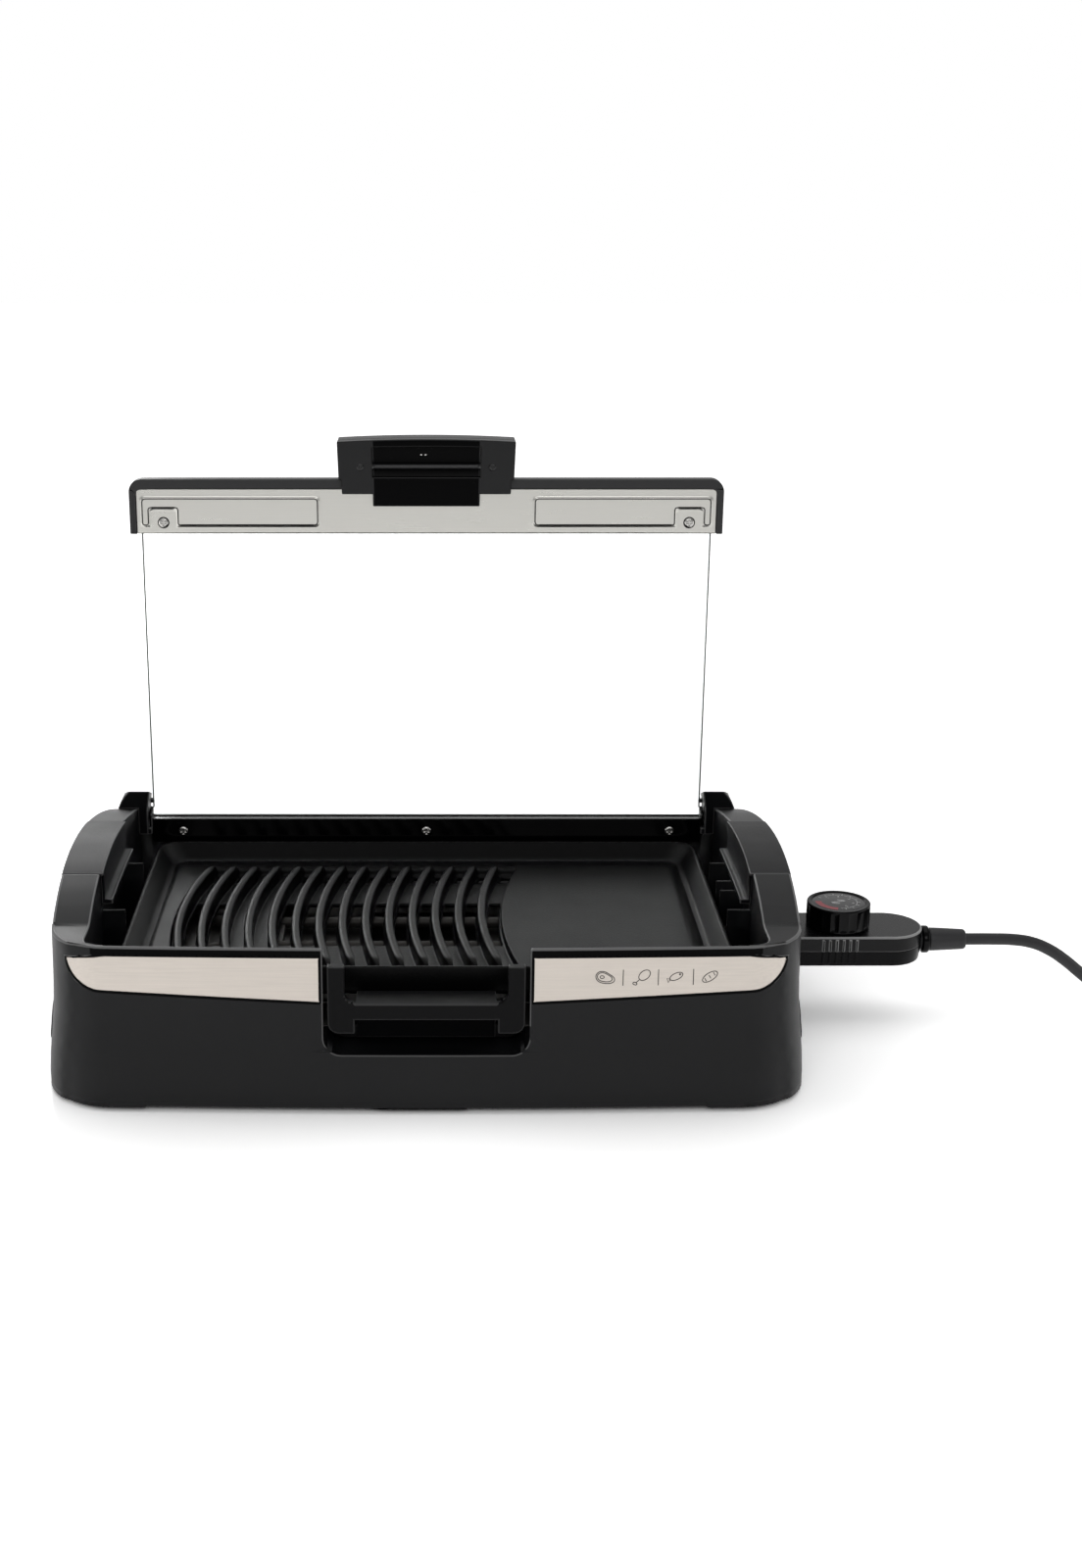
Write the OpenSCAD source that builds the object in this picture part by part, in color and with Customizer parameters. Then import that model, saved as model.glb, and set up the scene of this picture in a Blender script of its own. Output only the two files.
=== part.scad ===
// Electric indoor grill with a hinged glass lid, a drip tray and a plug-in controller.
// Millimetres, +Z up, +Y to the rear. The origin is the middle of its footprint on the table.

/* [Body] */
// Width of the housing at the bottom
body_w = 481; // [472:1:500]
// Depth of the housing at the bottom
body_d = 313; // [310:1:320]
// Corner radius of the housing's bottom seen from above
body_r = 45.5; // [40:0.5:50]
// How much the walls lean in from the bottom to the top
flare = 6; // [5:0.5:7]
// Height of the front lip above the table
lip_z = 107; // [106:0.5:109]
// Wall thickness of the housing
wall = 3; // [2.5:0.1:3.5]
// Width of each side arm
arm_w = 24; // [22:0.5:26]
// Height of the arms' crest above the table
crest_z = 122.5; // [120:0.5:126]
// Radius of the arms' arch in the side view
arch_r = 440; // [400:5:480]
// Corner radius of the cooking well
well_r = 14; // [8:1:18]
// Height of the rear wall between the hinge posts
rear_z = 83.5; // [80:0.5:83.5]
// Height of the rubber feet
foot_h = 3; // [2.5:0.5:4]
// Diameter of the rubber feet
foot_d = 18; // [14:1:24]
// Width of the notch in the front wall
notch_w = 126; // [122:1:140]
// Height of the notch's lower edge
notch_z = 38.5; // [38:0.5:39]
// Corner radius of the notch
notch_r = 11; // [9:0.5:11.5]

/* [Trim and grips] */
// Thickness of the steel trim plates
trim_t = 1.2; // [0.8:0.1:1.4]
// Height of the trim plates at their inner end
trim_h = 29.3; // [26:0.1:32]
// Distance of the trim plates below the lip
trim_drop = 5.5; // [4:0.5:8]
// Distance of the trim plates from the notch
trim_gap = 2; // [1:0.5:4]
// Radius of the trim plates' lower outer corner
trim_r = 22; // [16:1:24]
// Length of the grip panels
grip_l = 106; // [96:1:114]
// Thickness of the grip panels
grip_t = 2.2; // [1.8:0.1:2.6]
// Width of the ledge inside each grip panel
ledge_w = 7; // [4:0.5:7.5]
// Length of the side panels
panel_l = 216; // [200:2:222]
// Height of the side panels
panel_h = 28; // [22:1:30]
// How far the side panels stand proud
panel_t = 1.5; // [1:0.25:2]

/* [Grill plate] */
// Gap between the grill plate and the arms
plate_gap_x = 15.5; // [14:0.5:17]
// Gap between the grill plate and the front and rear walls
plate_gap_y = 28.5; // [27.5:0.5:31]
// Height of the grill plate's rim above the table
plate_z = 81.6; // [80:0.2:83]
// Height of the grill plate's side wall
plate_h = 15; // [14:0.5:16]
// Depth of the griddle below the rim
griddle_drop = 11; // [9:0.5:11.5]
// Depth of the channels below the griddle
channel_drop = 5; // [3:0.5:5.5]
// Thickness of the plate's floor
plate_t = 3.5; // [3:0.5:4]
// Number of ribs
rib_count = 14; // [8:1:14]
// Distance from rib to rib
rib_pitch = 15.55; // [14.5:0.05:15.6]
// Width of a rib
rib_w = 6; // [5:0.5:7]
// Height of the ribs above the griddle
rib_up = 5.4; // [3:0.2:7]
// Radius of the ribs' curve
rib_r = 372; // [340:2:420]

/* [Lid] */
// Thickness of the glass
glass_t = 4; // [3.5:0.1:4]
// Distance of the hinge line from the rear face
hinge_back = 24.5; // [24:0.5:26]
// Height of the hinge line above the table
hinge_z = 97; // [96:0.5:98]
// Width of the lid frame's legs
leg_w = 4.6; // [4:0.2:5]
// Height of the lid frame's top band
band_h = 7; // [6:0.2:9]
// Length of the lid frame's legs
leg_l = 38.6; // [36:0.2:44]
// Width of the lid handle
handle_w = 124; // [112:1:126]
// Width of the recess in the lid handle
recess_w = 76; // [70:1:84]
// Diameter of the rod in the lid handle
rod_d = 4; // [3:0.5:6]
// Diameter of the hinge pins
pin_d = 5; // [4:0.5:6]

/* [Heater] */
// Diameter of the heating element's tube
element_d = 7.5; // [6.5:0.5:8]
// Height of the heating element's centre above the table
element_z = 56; // [55.5:0.25:56.5]
// Half distance between the terminal pins
terminal_y = 11; // [10.5:0.5:12]
// Half distance between the element's inner legs
inner_y = 22; // [18:1:24]
// Diameter of the terminal pins
terminal_d = 4; // [3:0.5:4.5]
// Thickness of the reflector pan's sheet
sheet_t = 0.8; // [0.6:0.1:1]

/* [Drip tray] */
// Width of the drip tray
tray_w = 116; // [108:1:118]
// Length of the drip tray
tray_l = 187; // [150:1:190]
// Height of the drip tray
tray_h = 8.6; // [8.6:0.1:8.7]
// Wall thickness of the drip tray
tray_t = 1.5; // [1.2:0.1:2]
// Width of the tray handle's uprights
upright_w = 10.5; // [7:0.5:12]
// Height of the tray handle's top above the table
upright_z = 94.8; // [88:0.2:96]
// Height of the tray handle's bar above the table
bar_z = 70.3; // [68:0.1:72]
// Height of the bar's front face
bar_h = 10.6; // [9:0.1:12]
// Thickness of the tray handle's front
bar_t = 5.5; // [4:0.5:6]

/* [Controller] */
// Width of the controller's case
case_w = 47; // [45:1:50]
// Height of the controller's case
case_h = 21; // [19:0.5:22]
// Length of the controller's case outside the housing
case_out = 95.5; // [92:0.5:110]
// Wall thickness of the controller's case
case_t = 2; // [1.6:0.1:2.4]
// Diameter of the knob
knob_d = 42.5; // [38:0.5:44]
// Height of the knob
knob_h = 16.4; // [13:0.2:20]
// Distance from the housing to the knob's centre
knob_out = 38.5; // [36:0.5:44]
// Diameter of the knob's shaft
shaft_d = 5.9; // [5:0.1:7]
// Diameter of the probe
probe_d = 6; // [5:0.5:7]
// How far the probe reaches past the terminal pins
probe_past = 22; // [10:1:26]

/* [Cord] */
// Diameter of the cord
cord_d = 8; // [8:0.1:8.4]
// Length of the strain relief's taper
relief_l = 25; // [20:1:30]
// Number of loops in the coil
coil_turns = 4.25; // [2.25:1:5.25]
// Distance from loop to loop
coil_pitch = 8.6; // [8.6:0.1:9]
// Outer radius of the coil at its middle line
coil_r = 53; // [50:1:56]
// Diameter of the plug's face
plug_d = 38; // [36:0.5:40]
// Length of the plug's pins
plug_pin_l = 19; // [18:0.5:20]

/* [Hidden] */
$fn = 64;
fit = 0.2;
run = 0.5;
eps = 0.01;

// Housing
top_x = body_w / 2 - flare;
well_w = 2 * (top_x - arm_w);
well_d = body_d - 2 * (flare + wall);
plate_w = well_w - 2 * plate_gap_x;
plate_d = well_d - 2 * plate_gap_y;
floor_z = 44.5;
floor_t = 2.5;
front_y = -body_d / 2;
rear_y = body_d / 2;
side_x = body_w / 2;
well_x = well_w / 2;
front_run = 60;
pocket_l = 26.5;
boss_d = 9;
screw_d = 3.4;
cover_t = 2.5;
cover_z = foot_h + cover_t;
corner_boss = [side_x - 45.5, rear_y - 44.5];
inner_boss = [notch_w / 2 + 17, rear_y - 31.5];
boss_places = [
    for (p = [corner_boss, inner_boss], x = [-1, 1], y = [-1, 1])
        [x * p[0], y * p[1]]
];
foot_places = [
    for (x = [-1, 1], y = [-1, 1]) [x * (side_x - 63.5), y * (rear_y - 44.5)]
];
locator_y = 45;
locator_t = 3;
locator_z = 91;

// How far the walls have leaned in at each height, as a share of the flare
lean = [[-5, 0], [12, 0.03], [25, 0.17], [40, 0.45], [57, 0.75], [75, 0.87], [125, 1]];
function lean_at(z) = flare * lookup(z, lean);

// Side panels, on the walls outside
panel_z = 25;
panel_r = 10;

// Grill plate
plate_x = plate_w / 2;
plate_y = plate_d / 2;
griddle_z = plate_z - griddle_drop;
channel_z = griddle_z - channel_drop;
rim_t = 3;
rim_slope = 8;
rib_top = griddle_z + rib_up;
first_rib_x = 37.05;
rib_mid_y = -11;
rib_front_y = -(plate_y - 22);
rib_rear_y = plate_y - 31;
slot_w = rib_pitch - rib_w - 2;
slot_spans = [
    [rib_front_y + 52, rib_rear_y - 55],
    [rib_rear_y - 14, rib_rear_y - 2]
];
solid_channels = [2, 3];
leg_x = plate_x - 12;
leg_y = plate_y - 12;
leg_d = 9;

// Lid, drawn open and upright
hinge_y = rear_y - hinge_back;
lid_gap = 2.5;
lid_w = well_w - 2 * lid_gap;
lid_x = lid_w / 2;
lid_reach = hinge_y + rear_y - 40.2;
frame_r = 9;
glass_side = 3.4;
glass_w = lid_w - 2 * (leg_w + glass_side);
glass_top = lid_reach - band_h - 0.3;
glass_low = -16;
glass_front = hinge_y - glass_t / 2;
glass_rear = hinge_y + glass_t / 2;
frame_back_t = 3;
frame_front_y = glass_front - 2.2;
frame_back_y = glass_rear + 0.4;
strip_t = 1;
strip_y = glass_front - strip_t - fit;
strip_x = lid_x - leg_w - fit;
strip_screw_x = strip_x - 18.8;
strip_screw_z = lid_reach - 30.6;
pocket_x0 = 75;
pocket_x1 = strip_x - 3;
pocket_low = lid_reach - 33.4;
pocket_top = lid_reach - 12.5;
handle_reach = hinge_y + rear_y - 12.2;
handle_x = handle_w / 2;
handle_seam_y = hinge_y - 1;
handle_front_y = glass_front - 7.5;
handle_back_y = glass_rear + 13;
handle_low = lid_reach - 9.6;
lip_low = lid_reach - 18.1;
rod_z = lid_reach + 9.2;
rod_y = handle_front_y + 3.5;
rail_low = -18;
rail_top = 0;
rail_front_y = glass_front - 5.5;
rail_back_y = glass_rear + 3;
rail_x = glass_w / 2 + fit;
cheek_t = 2.5;
cheek_x = rail_x + cheek_t;
cheek_r = 7;
cheek_low = 13;
rail_screw_z = hinge_z - 9.4;
rail_screw_places = [-178, 0, 178];
post_x = cheek_x + run;
post_l = 22;
post_w = 22.7;
post_top_z = 119.5;
post_fall = 8.5;
post_low_z = 86;
pin_end_x = post_x + 5.8;

// Heater and reflector pan
pan_w = plate_w - 46;
pan_d = plate_d - 42;
pan_low = floor_z + 3.3;
pan_rise = 1.8;
pan_flat = 46;
pan_slot_x = 38;
pan_slot_y = 60;
element_y = plate_y - 39;
bend_r = (element_y - inner_y) / 2;
end_bend_r = 12;
element_side = well_x - 50.5;
element_left = 65 - plate_x;
element_turn = element_side - 26 - inner_y;
element_end = element_side + 18;
bracket_x = element_side + 20;
bracket_t = 2;
bracket_y = 26;
insulator_d = 10;
terminal_tip = bracket_x + 22;
sleeve_d = probe_d + 3;

// Drip tray
tray_z = notch_z + 0.3;
tray_front_y = front_y + pocket_l;
guide_t = 1;
guide_x = tray_w / 2 + 0.8;
guide_flange = 12;
guide_rear_y = tray_front_y + tray_l + fit + guide_t;
guide_front_y = front_y + pocket_l + wall;
well_screw_places = [
    for (x = [-1, 1], y = [guide_front_y + 42, guide_rear_y - 18.2])
        [x * (guide_x + 7), y, floor_z + guide_t]
];
upright_x = (notch_w - 5.2) / 2;
bar_front_y = front_y + 5.5;
tab_low = notch_z + 12.2;

// Controller, plugged in on the right
case_z = 42;
case_mid_z = case_z + case_h / 2;
case_x0 = side_x - 25;
case_x1 = side_x + case_out;
nose_x0 = terminal_tip - 12;
nose_x1 = case_x0 + 7;
nose_y = 18;
nose_z0 = 49;
nose_z1 = 62.5;
bulkhead_x = nose_x1 + 10;
knob_x = side_x + knob_out;
knob_z = case_z + case_h + 0.6;
dial_d = knob_d - 6;
case_screw_places = [[case_x0 + 13, -16], [case_x0 + 13, 16], [case_x1 - 17, 0]];
contact_d = terminal_d + 2.4;
probe_tip = terminal_tip - 24 - probe_past;

// Cord: straight out of the strain relief, down to the table, then into the coil
relief_x = case_x1 + 5;
cord_x = relief_x + relief_l;
cord_r = cord_d / 2;
cord_low = cord_r + 0.7;
lead_points = [
    [cord_x, 0, case_mid_z],
    [384, 0, 52.5],
    [400, 0, 52],
    [412, 0, 50],
    [424, 0, 45],
    [436, 0, 37],
    [448, 0, 27],
    [460, 0, 17.5],
    [472, 0, 10],
    [484, 0, 5.5],
    [498, 0, 4.7],
    [515, 0, 4.7],
    [532, 0, 4.7]
];
coil_x = 540;
coil_mid = [coil_x, coil_r];
coil_layer = 8.6;
coil_half = coil_turns / 2;
coil_lead = cord_d;
coil_steps = 24;
lead_sides = 10;
coil_sides = 6;

black = "#1f1f22";
dark = "#2c2c30";
steel = "#c9c5bf";
iron = "#2a2a2a";
rubber = "#141414";

// A rectangle with round corners, seen from above
module rounded(w, d, r) {
    square([w - 2 * r, d], center = true);
    square([w, d - 2 * r], center = true);
    for (x = [-1, 1], y = [-1, 1])
        translate([x * (w / 2 - r), y * (d / 2 - r)])
            circle(r = r);
}

// An outline drawn in X and Z, standing from y0 towards the rear
module upright(y0, t) {
    translate([0, y0 + t, 0])
        rotate([90, 0, 0])
            linear_extrude(t)
                children();
}

// An outline drawn in Y and Z, standing from x0 towards the right
module sideways(x0, t) {
    translate([x0, 0, 0])
        rotate([90, 0, 90])
            linear_extrude(t)
                children();
}

// A cylinder along X, Y or towards +Z from a point
module rod_x(x0, x1, y, z, d) {
    translate([x0, y, z])
        rotate([0, 90, 0])
            cylinder(d = d, h = x1 - x0);
}

module rod_y(x, y0, y1, z, d) {
    translate([x, y0, z])
        rotate([-90, 0, 0])
            cylinder(d = d, h = y1 - y0);
}

module box(x0, x1, y0, y1, z0, z1) {
    translate([x0, y0, z0])
        cube([x1 - x0, y1 - y0, z1 - z0]);
}

// What lies under the arms' arch, lowered by a depth
module under_arch(drop) {
    translate([0, 0, crest_z - arch_r])
        rotate([0, 90, 0])
            cylinder(r = arch_r - drop, h = body_w + 20, center = true, $fn = 360);
    box(-side_x - 5, side_x + 5, front_y - 5, front_y + front_run, 0, lip_z - drop);
}

// The leaning walls' profile from half a width, between two heights
module wall_profile(half, z0, z1) {
    heights = concat([z0], [for (p = lean) if (p[0] > z0 && p[0] < z1) p[0]], [z1]);
    polygon(concat([for (z = heights) [half - lean_at(z), z]], [[0, z1], [0, z0]]));
}

// The housing's outside set in by a distance, between two heights
module body_block(inset, z0, z1) {
    for (s = [0, 1])
        mirror([s, 0, 0])
            upright(-rear_y + body_r, body_d - 2 * body_r)
                wall_profile(side_x - inset, z0, z1);
    for (s = [0, 1])
        mirror([0, s, 0])
            sideways(-side_x + body_r, body_w - 2 * body_r)
                wall_profile(rear_y - inset, z0, z1);
    for (x = [-1, 1], y = [-1, 1])
        translate([x * (side_x - body_r), y * (rear_y - body_r), 0])
            rotate_extrude()
                wall_profile(body_r - inset, z0, z1);
}

// The notch's outline, grown by a distance
module notch_shape(grow) {
    w = notch_w / 2 + grow;
    r = notch_r + grow;
    translate([-w, notch_z - grow + r])
        square([2 * w, 80]);
    translate([-w + r, notch_z - grow])
        square([2 * (w - r), r + 1]);
    for (x = [-1, 1])
        translate([x * (w - r), notch_z - grow + r])
            circle(r = r);
}

// A trim plate's outline in the front view, on the right, grown by a distance
module trim_shape(grow) {
    x0 = notch_w / 2 + trim_gap - grow;
    x1 = top_x - 12 - trim_r;
    z1 = lip_z - trim_drop;
    r = trim_r + grow;
    fall = 0.152;
    polygon([
        [x0, z1 - trim_h - grow],
        [x1, z1 - 1 - r],
        [x1, z1 + grow - 0.5 - 4.5 * fall],
        [x1 - 4.5, z1 + grow - 0.5],
        [x0, z1 + grow]
    ]);
    intersection() {
        translate([x1, z1 - 1])
            circle(r = r);
        polygon([
            [x1 - 1, z1 - 2 - r],
            [x1 + r + 1, z1 - 2 - r],
            [x1 + r + 1, z1 + grow - 0.5 - (r + 5.5) * fall],
            [x1 - 1, z1 + grow - 0.5 - 3.5 * fall]
        ]);
    }
}

module trim_zone(grow, inset0, inset1) {
    intersection() {
        difference() {
            body_block(inset0, lip_z - 60, lip_z);
            body_block(inset1, lip_z - 61, lip_z + 1);
        }
        upright(front_y - 5, body_r + 5)
            trim_shape(grow);
    }
}

module housing() {
    color(black)
        difference() {
            union() {
                difference() {
                    intersection() {
                        body_block(0, foot_h, crest_z + 1);
                        under_arch(0);
                    }
                    translate([0, 0, floor_z])
                        linear_extrude(100)
                            rounded(well_w, well_d, well_r);
                    difference() {
                        intersection() {
                            body_block(wall, foot_h - 1, crest_z);
                            under_arch(wall + grip_t);
                        }
                        box(
                            -well_x - wall, well_x + wall, -rear_y, rear_y,
                            floor_z - floor_t, crest_z + 1
                        );
                    }
                    box(-post_x, post_x, rear_y - body_r, rear_y + 1, rear_z, crest_z);
                    box(
                        -guide_x - guide_t - run, guide_x + guide_t + run,
                        front_y + 12, guide_rear_y + run, floor_z - floor_t - 1, floor_z + 1
                    );
                    grip_zone(-1);
                    grip_zone(1);
                }
                intersection() {
                    box(
                        -notch_w / 2 - wall, notch_w / 2 + wall, front_y, guide_front_y,
                        notch_z - wall, floor_z
                    );
                    body_block(1, notch_z - wall - 1, floor_z + 1);
                }
                for (p = boss_places)
                    translate([p[0], p[1], cover_z])
                        cylinder(d = boss_d, h = floor_z - floor_t - cover_z + 1);
                for (x = [-1, 1], y = [-1, 1])
                    locator(x, y * locator_y, floor_z - 1);
                for (y = [-1, 1])
                    locator(1, y * 9, nose_z1 + 4);
            }
            upright(front_y - 1, pocket_l + 10)
                notch_shape(0);
            for (x = [0, 1])
                mirror([x, 0, 0])
                    trim_zone(0.3, -1, trim_t + 0.4);
            for (p = boss_places)
                translate([p[0], p[1], 0])
                    cylinder(d = screw_d + 0.1, h = 20);
            for (p = well_screw_places)
                translate([p[0], p[1], floor_z - floor_t - 1])
                    cylinder(d = screw_d + 0.1, h = floor_t + 2);
            box(
                side_x - flare - wall - 2, side_x + 1, -case_w / 2 - 2, case_w / 2 + 2,
                case_z - 2, case_z + case_h + 2.5
            );
            box(
                well_x - 1, well_x + wall + 1, -nose_y - 2.5, nose_y + 2.5,
                nose_z0 - 2, nose_z1 + 2.5
            );
        }
}

// A rib on the arm's inner wall that keeps the grill plate in its place
module locator(side, y, z0) {
    x0 = plate_x + 2;
    x1 = well_x + 1;
    translate([side > 0 ? x0 : -x1, y - locator_t / 2, z0])
        cube([x1 - x0, locator_t, locator_z - z0]);
}

// The room for a grip panel on an arm
module grip_zone(side) {
    difference() {
        intersection() {
            under_arch(-1);
            translate([side * (well_x + 50), 0, crest_z])
                cube([100 + 2 * eps, grip_l + 0.4, 80], center = true);
        }
        under_arch(grip_t);
    }
}

module bottom_cover() {
    color(dark)
        difference() {
            body_block(wall + 0.3, foot_h, cover_z);
            for (p = boss_places)
                translate([p[0], p[1], 0])
                    cylinder(d = screw_d + 0.6, h = 20);
            for (x = [-6:6], y = [-1, 1])
                translate([x * 16, y * 42, foot_h - 1])
                    linear_extrude(cover_t + 2)
                        rounded(5, 44, 2.4);
        }
}

// A pan head screw that goes up from z0
module screw_up(x, y, z0, length, head) {
    translate([x, y, z0 - head])
        cylinder(d = 2 * screw_d, h = head);
    translate([x, y, z0 - head / 2])
        cylinder(d = screw_d, h = length + head / 2);
}

module bottom_screws() {
    color(steel)
        for (p = boss_places)
            screw_up(p[0], p[1], foot_h, 15, 1.8);
}

module rubber_feet() {
    color(rubber)
        for (p = foot_places)
            translate([p[0], p[1], 0])
                cylinder(d = foot_d, h = foot_h);
}

module trim_plate() {
    color(steel)
        trim_zone(0, 0.2, 0.2 + trim_t);
}

module trim_plate_left() {
    mirror([1, 0, 0])
        trim_plate();
}

module trim_plate_right() {
    trim_plate();
}

// The grip panel over the right arm, with its ledge inside the well
module grip() {
    ledge_z = 97;
    skirt_x = well_x - 2.2;
    color(dark) {
        intersection() {
            difference() {
                under_arch(0);
                under_arch(grip_t - 0.1);
            }
            box(skirt_x, side_x, -grip_l / 2, grip_l / 2, 60, crest_z + 2);
            body_block(0, 60, crest_z + 3);
        }
        intersection() {
            under_arch(1);
            box(skirt_x, well_x - fit, -grip_l / 2 + 3, grip_l / 2 - 3, ledge_z, crest_z);
        }
        box(
            well_x - ledge_w, well_x - fit, -grip_l / 2 + 3, grip_l / 2 - 3,
            ledge_z, ledge_z + 3.5
        );
    }
}

module grip_left() {
    mirror([1, 0, 0])
        grip();
}

module grip_right() {
    grip();
}

module panel_shape() {
    translate([0, panel_z + panel_h / 2])
        rounded(panel_l, panel_h, panel_r);
}

// The right panel, bent to the leaning wall behind it
module side_panel() {
    intersection() {
        difference() {
            body_block(-panel_t, panel_z - 1, panel_z + panel_h + 1);
            body_block(0, panel_z - 2, panel_z + panel_h + 2);
        }
        sideways(side_x - flare - 1, flare + panel_t + 2)
            panel_shape();
    }
}

module side_panel_left() {
    color(black)
        mirror([1, 0, 0])
            side_panel();
}

module side_panel_right() {
    color(black)
        difference() {
            side_panel();
            box(
                side_x - flare - 2, side_x + panel_t + 1, -case_w / 2 - 3.5,
                case_w / 2 + 3.5, case_z - 3.5, 80
            );
        }
}

// The horn on the right arm that holds a hinge pin
module hinge_post() {
    y0 = hinge_y - post_l / 2;
    stop = cheek_r + fit;
    color(black) {
        box(
            rail_x + fit, post_x + eps, y0 + fit, hinge_y - stop, post_low_z,
            post_low_z + 5
        );
        box(
            rail_x + fit, post_x + eps, hinge_y + stop, y0 + post_l - fit,
            hinge_z + stop, hinge_z + stop + 3
        );
        difference() {
            upright(y0, post_l)
                polygon([
                    [post_x, post_low_z],
                    [well_x - fit, post_low_z],
                    [well_x - fit, hinge_z - 1],
                    [post_x + post_w, hinge_z - 1],
                    [post_x + post_w, hinge_z + 4],
                    [post_x + post_w - 1, hinge_z + 8.5],
                    [post_x + post_w - 3.4, hinge_z + 14],
                    [post_x + post_w - 6.4, hinge_z + 18.6],
                    [post_x + post_w - 10, post_top_z],
                    [post_x - 2, post_top_z],
                    [post_x, hinge_z + cheek_r + 1]
                ]);
            sideways(post_x - 3, post_w + 4)
                polygon([
                    [y0 - 1, post_top_z],
                    [y0 + post_l + 1, post_top_z - post_fall],
                    [y0 + post_l + 1, post_top_z + 5],
                    [y0 - 1, post_top_z + 5]
                ]);
            difference() {
                under_arch(-fit);
                translate([0, 0, floor_z])
                    linear_extrude(100)
                        rounded(well_w - 2 * fit, well_d - 2 * fit, well_r - fit);
            }
            rod_x(post_x - 1, pin_end_x + 0.4, hinge_y, hinge_z, pin_d + 0.16);
        }
    }
}

module hinge_post_left() {
    mirror([1, 0, 0])
        hinge_post();
}

module hinge_post_right() {
    hinge_post();
}

// The trough that the drip tray runs in, hung in the well's floor by its flanges
module tray_guide() {
    z0 = notch_z - guide_t;
    color(steel)
        difference() {
            union() {
                box(-guide_x, guide_x, guide_front_y + fit, guide_rear_y, z0, notch_z);
                box(
                    -guide_x - guide_t, guide_x + guide_t, guide_rear_y - guide_t,
                    guide_rear_y, z0, floor_z + guide_t
                );
                for (x = [-1, 1]) {
                    translate([x * (guide_x + guide_t / 2), 0, 0])
                        box(
                            -guide_t / 2, guide_t / 2, guide_front_y + fit, guide_rear_y,
                            z0, floor_z + guide_t
                        );
                    translate([x * (guide_x + guide_flange / 2), 0, 0])
                        box(
                            -guide_flange / 2, guide_flange / 2, guide_front_y + fit,
                            guide_rear_y, floor_z, floor_z + guide_t
                        );
                }
            }
            for (p = well_screw_places)
                translate([p[0], p[1], p[2] - 5])
                    cylinder(d = screw_d + 0.4, h = 10);
        }
}

module well_screws() {
    color(steel)
        for (p = well_screw_places) {
            translate([p[0], p[1], p[2]])
                cylinder(d = 2 * screw_d, h = 1.4);
            translate([p[0], p[1], p[2] - 8])
                cylinder(d = screw_d, h = 8 + eps);
        }
}

// Height of the reflector pan's top at a distance from the middle
function pan_top(x) = pan_low + sheet_t
    + max(0, abs(x) - pan_flat) / (pan_w / 2 - pan_flat) * pan_rise;

module reflector_pan() {
    x1 = pan_w / 2;
    z1 = pan_low + pan_rise;
    color(steel)
        difference() {
            upright(-pan_d / 2, pan_d)
                polygon([
                    [-x1, floor_z],
                    [-x1 + sheet_t, floor_z],
                    [-x1 + sheet_t, z1],
                    [-pan_flat, pan_low],
                    [pan_flat, pan_low],
                    [x1 - sheet_t, z1],
                    [x1 - sheet_t, floor_z],
                    [x1, floor_z],
                    [x1, z1 + sheet_t],
                    [pan_flat, pan_low + sheet_t],
                    [-pan_flat, pan_low + sheet_t],
                    [-x1, z1 + sheet_t]
                ]);
            box(-pan_slot_x, pan_slot_x, -pan_slot_y, pan_slot_y, pan_low - 5, pan_low + 5);
        }
}

// A bend of the element's tube about a centre, from one angle over a sweep
module bend(x, y, r, start, sweep) {
    translate([x, y, element_z])
        rotate([0, 0, start])
            rotate_extrude(angle = sweep)
                translate([r, 0])
                    circle(d = element_d, $fn = 32);
}

module heating_element() {
    side_run = element_side - end_bend_r;
    color("#4a4846")
        for (s = [0, 1])
            mirror([0, s, 0]) {
                rod_x(element_side, element_end, terminal_y, element_z, element_d);
                bend(element_side, terminal_y + end_bend_r, end_bend_r, 180, 90);
                rod_y(
                    side_run, terminal_y + end_bend_r, element_y - end_bend_r, element_z,
                    element_d
                );
                bend(side_run - end_bend_r, element_y - end_bend_r, end_bend_r, 0, 90);
                rod_x(
                    element_left, side_run - end_bend_r, element_y, element_z, element_d
                );
                bend(element_left, inner_y + bend_r, bend_r, 90, 180);
                rod_x(element_left, element_turn, inner_y, element_z, element_d);
                bend(element_turn, 0, inner_y, 0, 90);
            }
}

module element_supports() {
    color(steel)
        for (x = [element_left + 30, element_side - 65], y = [-element_y, 0, element_y]) {
            half = y == 0 ? inner_y + 6 : 6;
            difference() {
                box(x - 3, x + 3, y - half, y + half, pan_top(abs(x) + 3), element_z);
                for (leg = y == 0 ? [-inner_y, inner_y] : [y])
                    rod_x(x - 4, x + 4, leg, element_z, element_d + 0.2);
            }
        }
}

module terminal_bracket() {
    color(steel)
        difference() {
            union() {
                box(
                    bracket_x, bracket_x + bracket_t, -bracket_y, bracket_y, floor_z,
                    element_z + 7
                );
                box(
                    bracket_x, bracket_x + 8, -bracket_y, bracket_y, floor_z,
                    floor_z + bracket_t
                );
            }
            for (y = [-terminal_y, terminal_y])
                rod_x(bracket_x - 1, bracket_x + 9, y, element_z, insulator_d + 0.1);
            rod_x(bracket_x - 1, bracket_x + 9, 0, element_z, sleeve_d + 0.1);
        }
}

module terminal_insulators() {
    color("#e8e2d6")
        for (y = [-terminal_y, terminal_y])
            difference() {
                rod_x(bracket_x - 1.5, bracket_x + 4.5, y, element_z, insulator_d);
                rod_x(bracket_x - 2, bracket_x + 5, y, element_z, terminal_d + 0.1);
            }
}

module terminal_pins() {
    color("silver")
        for (y = [-terminal_y, terminal_y])
            rod_x(element_end, terminal_tip, y, element_z, terminal_d);
}

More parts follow.
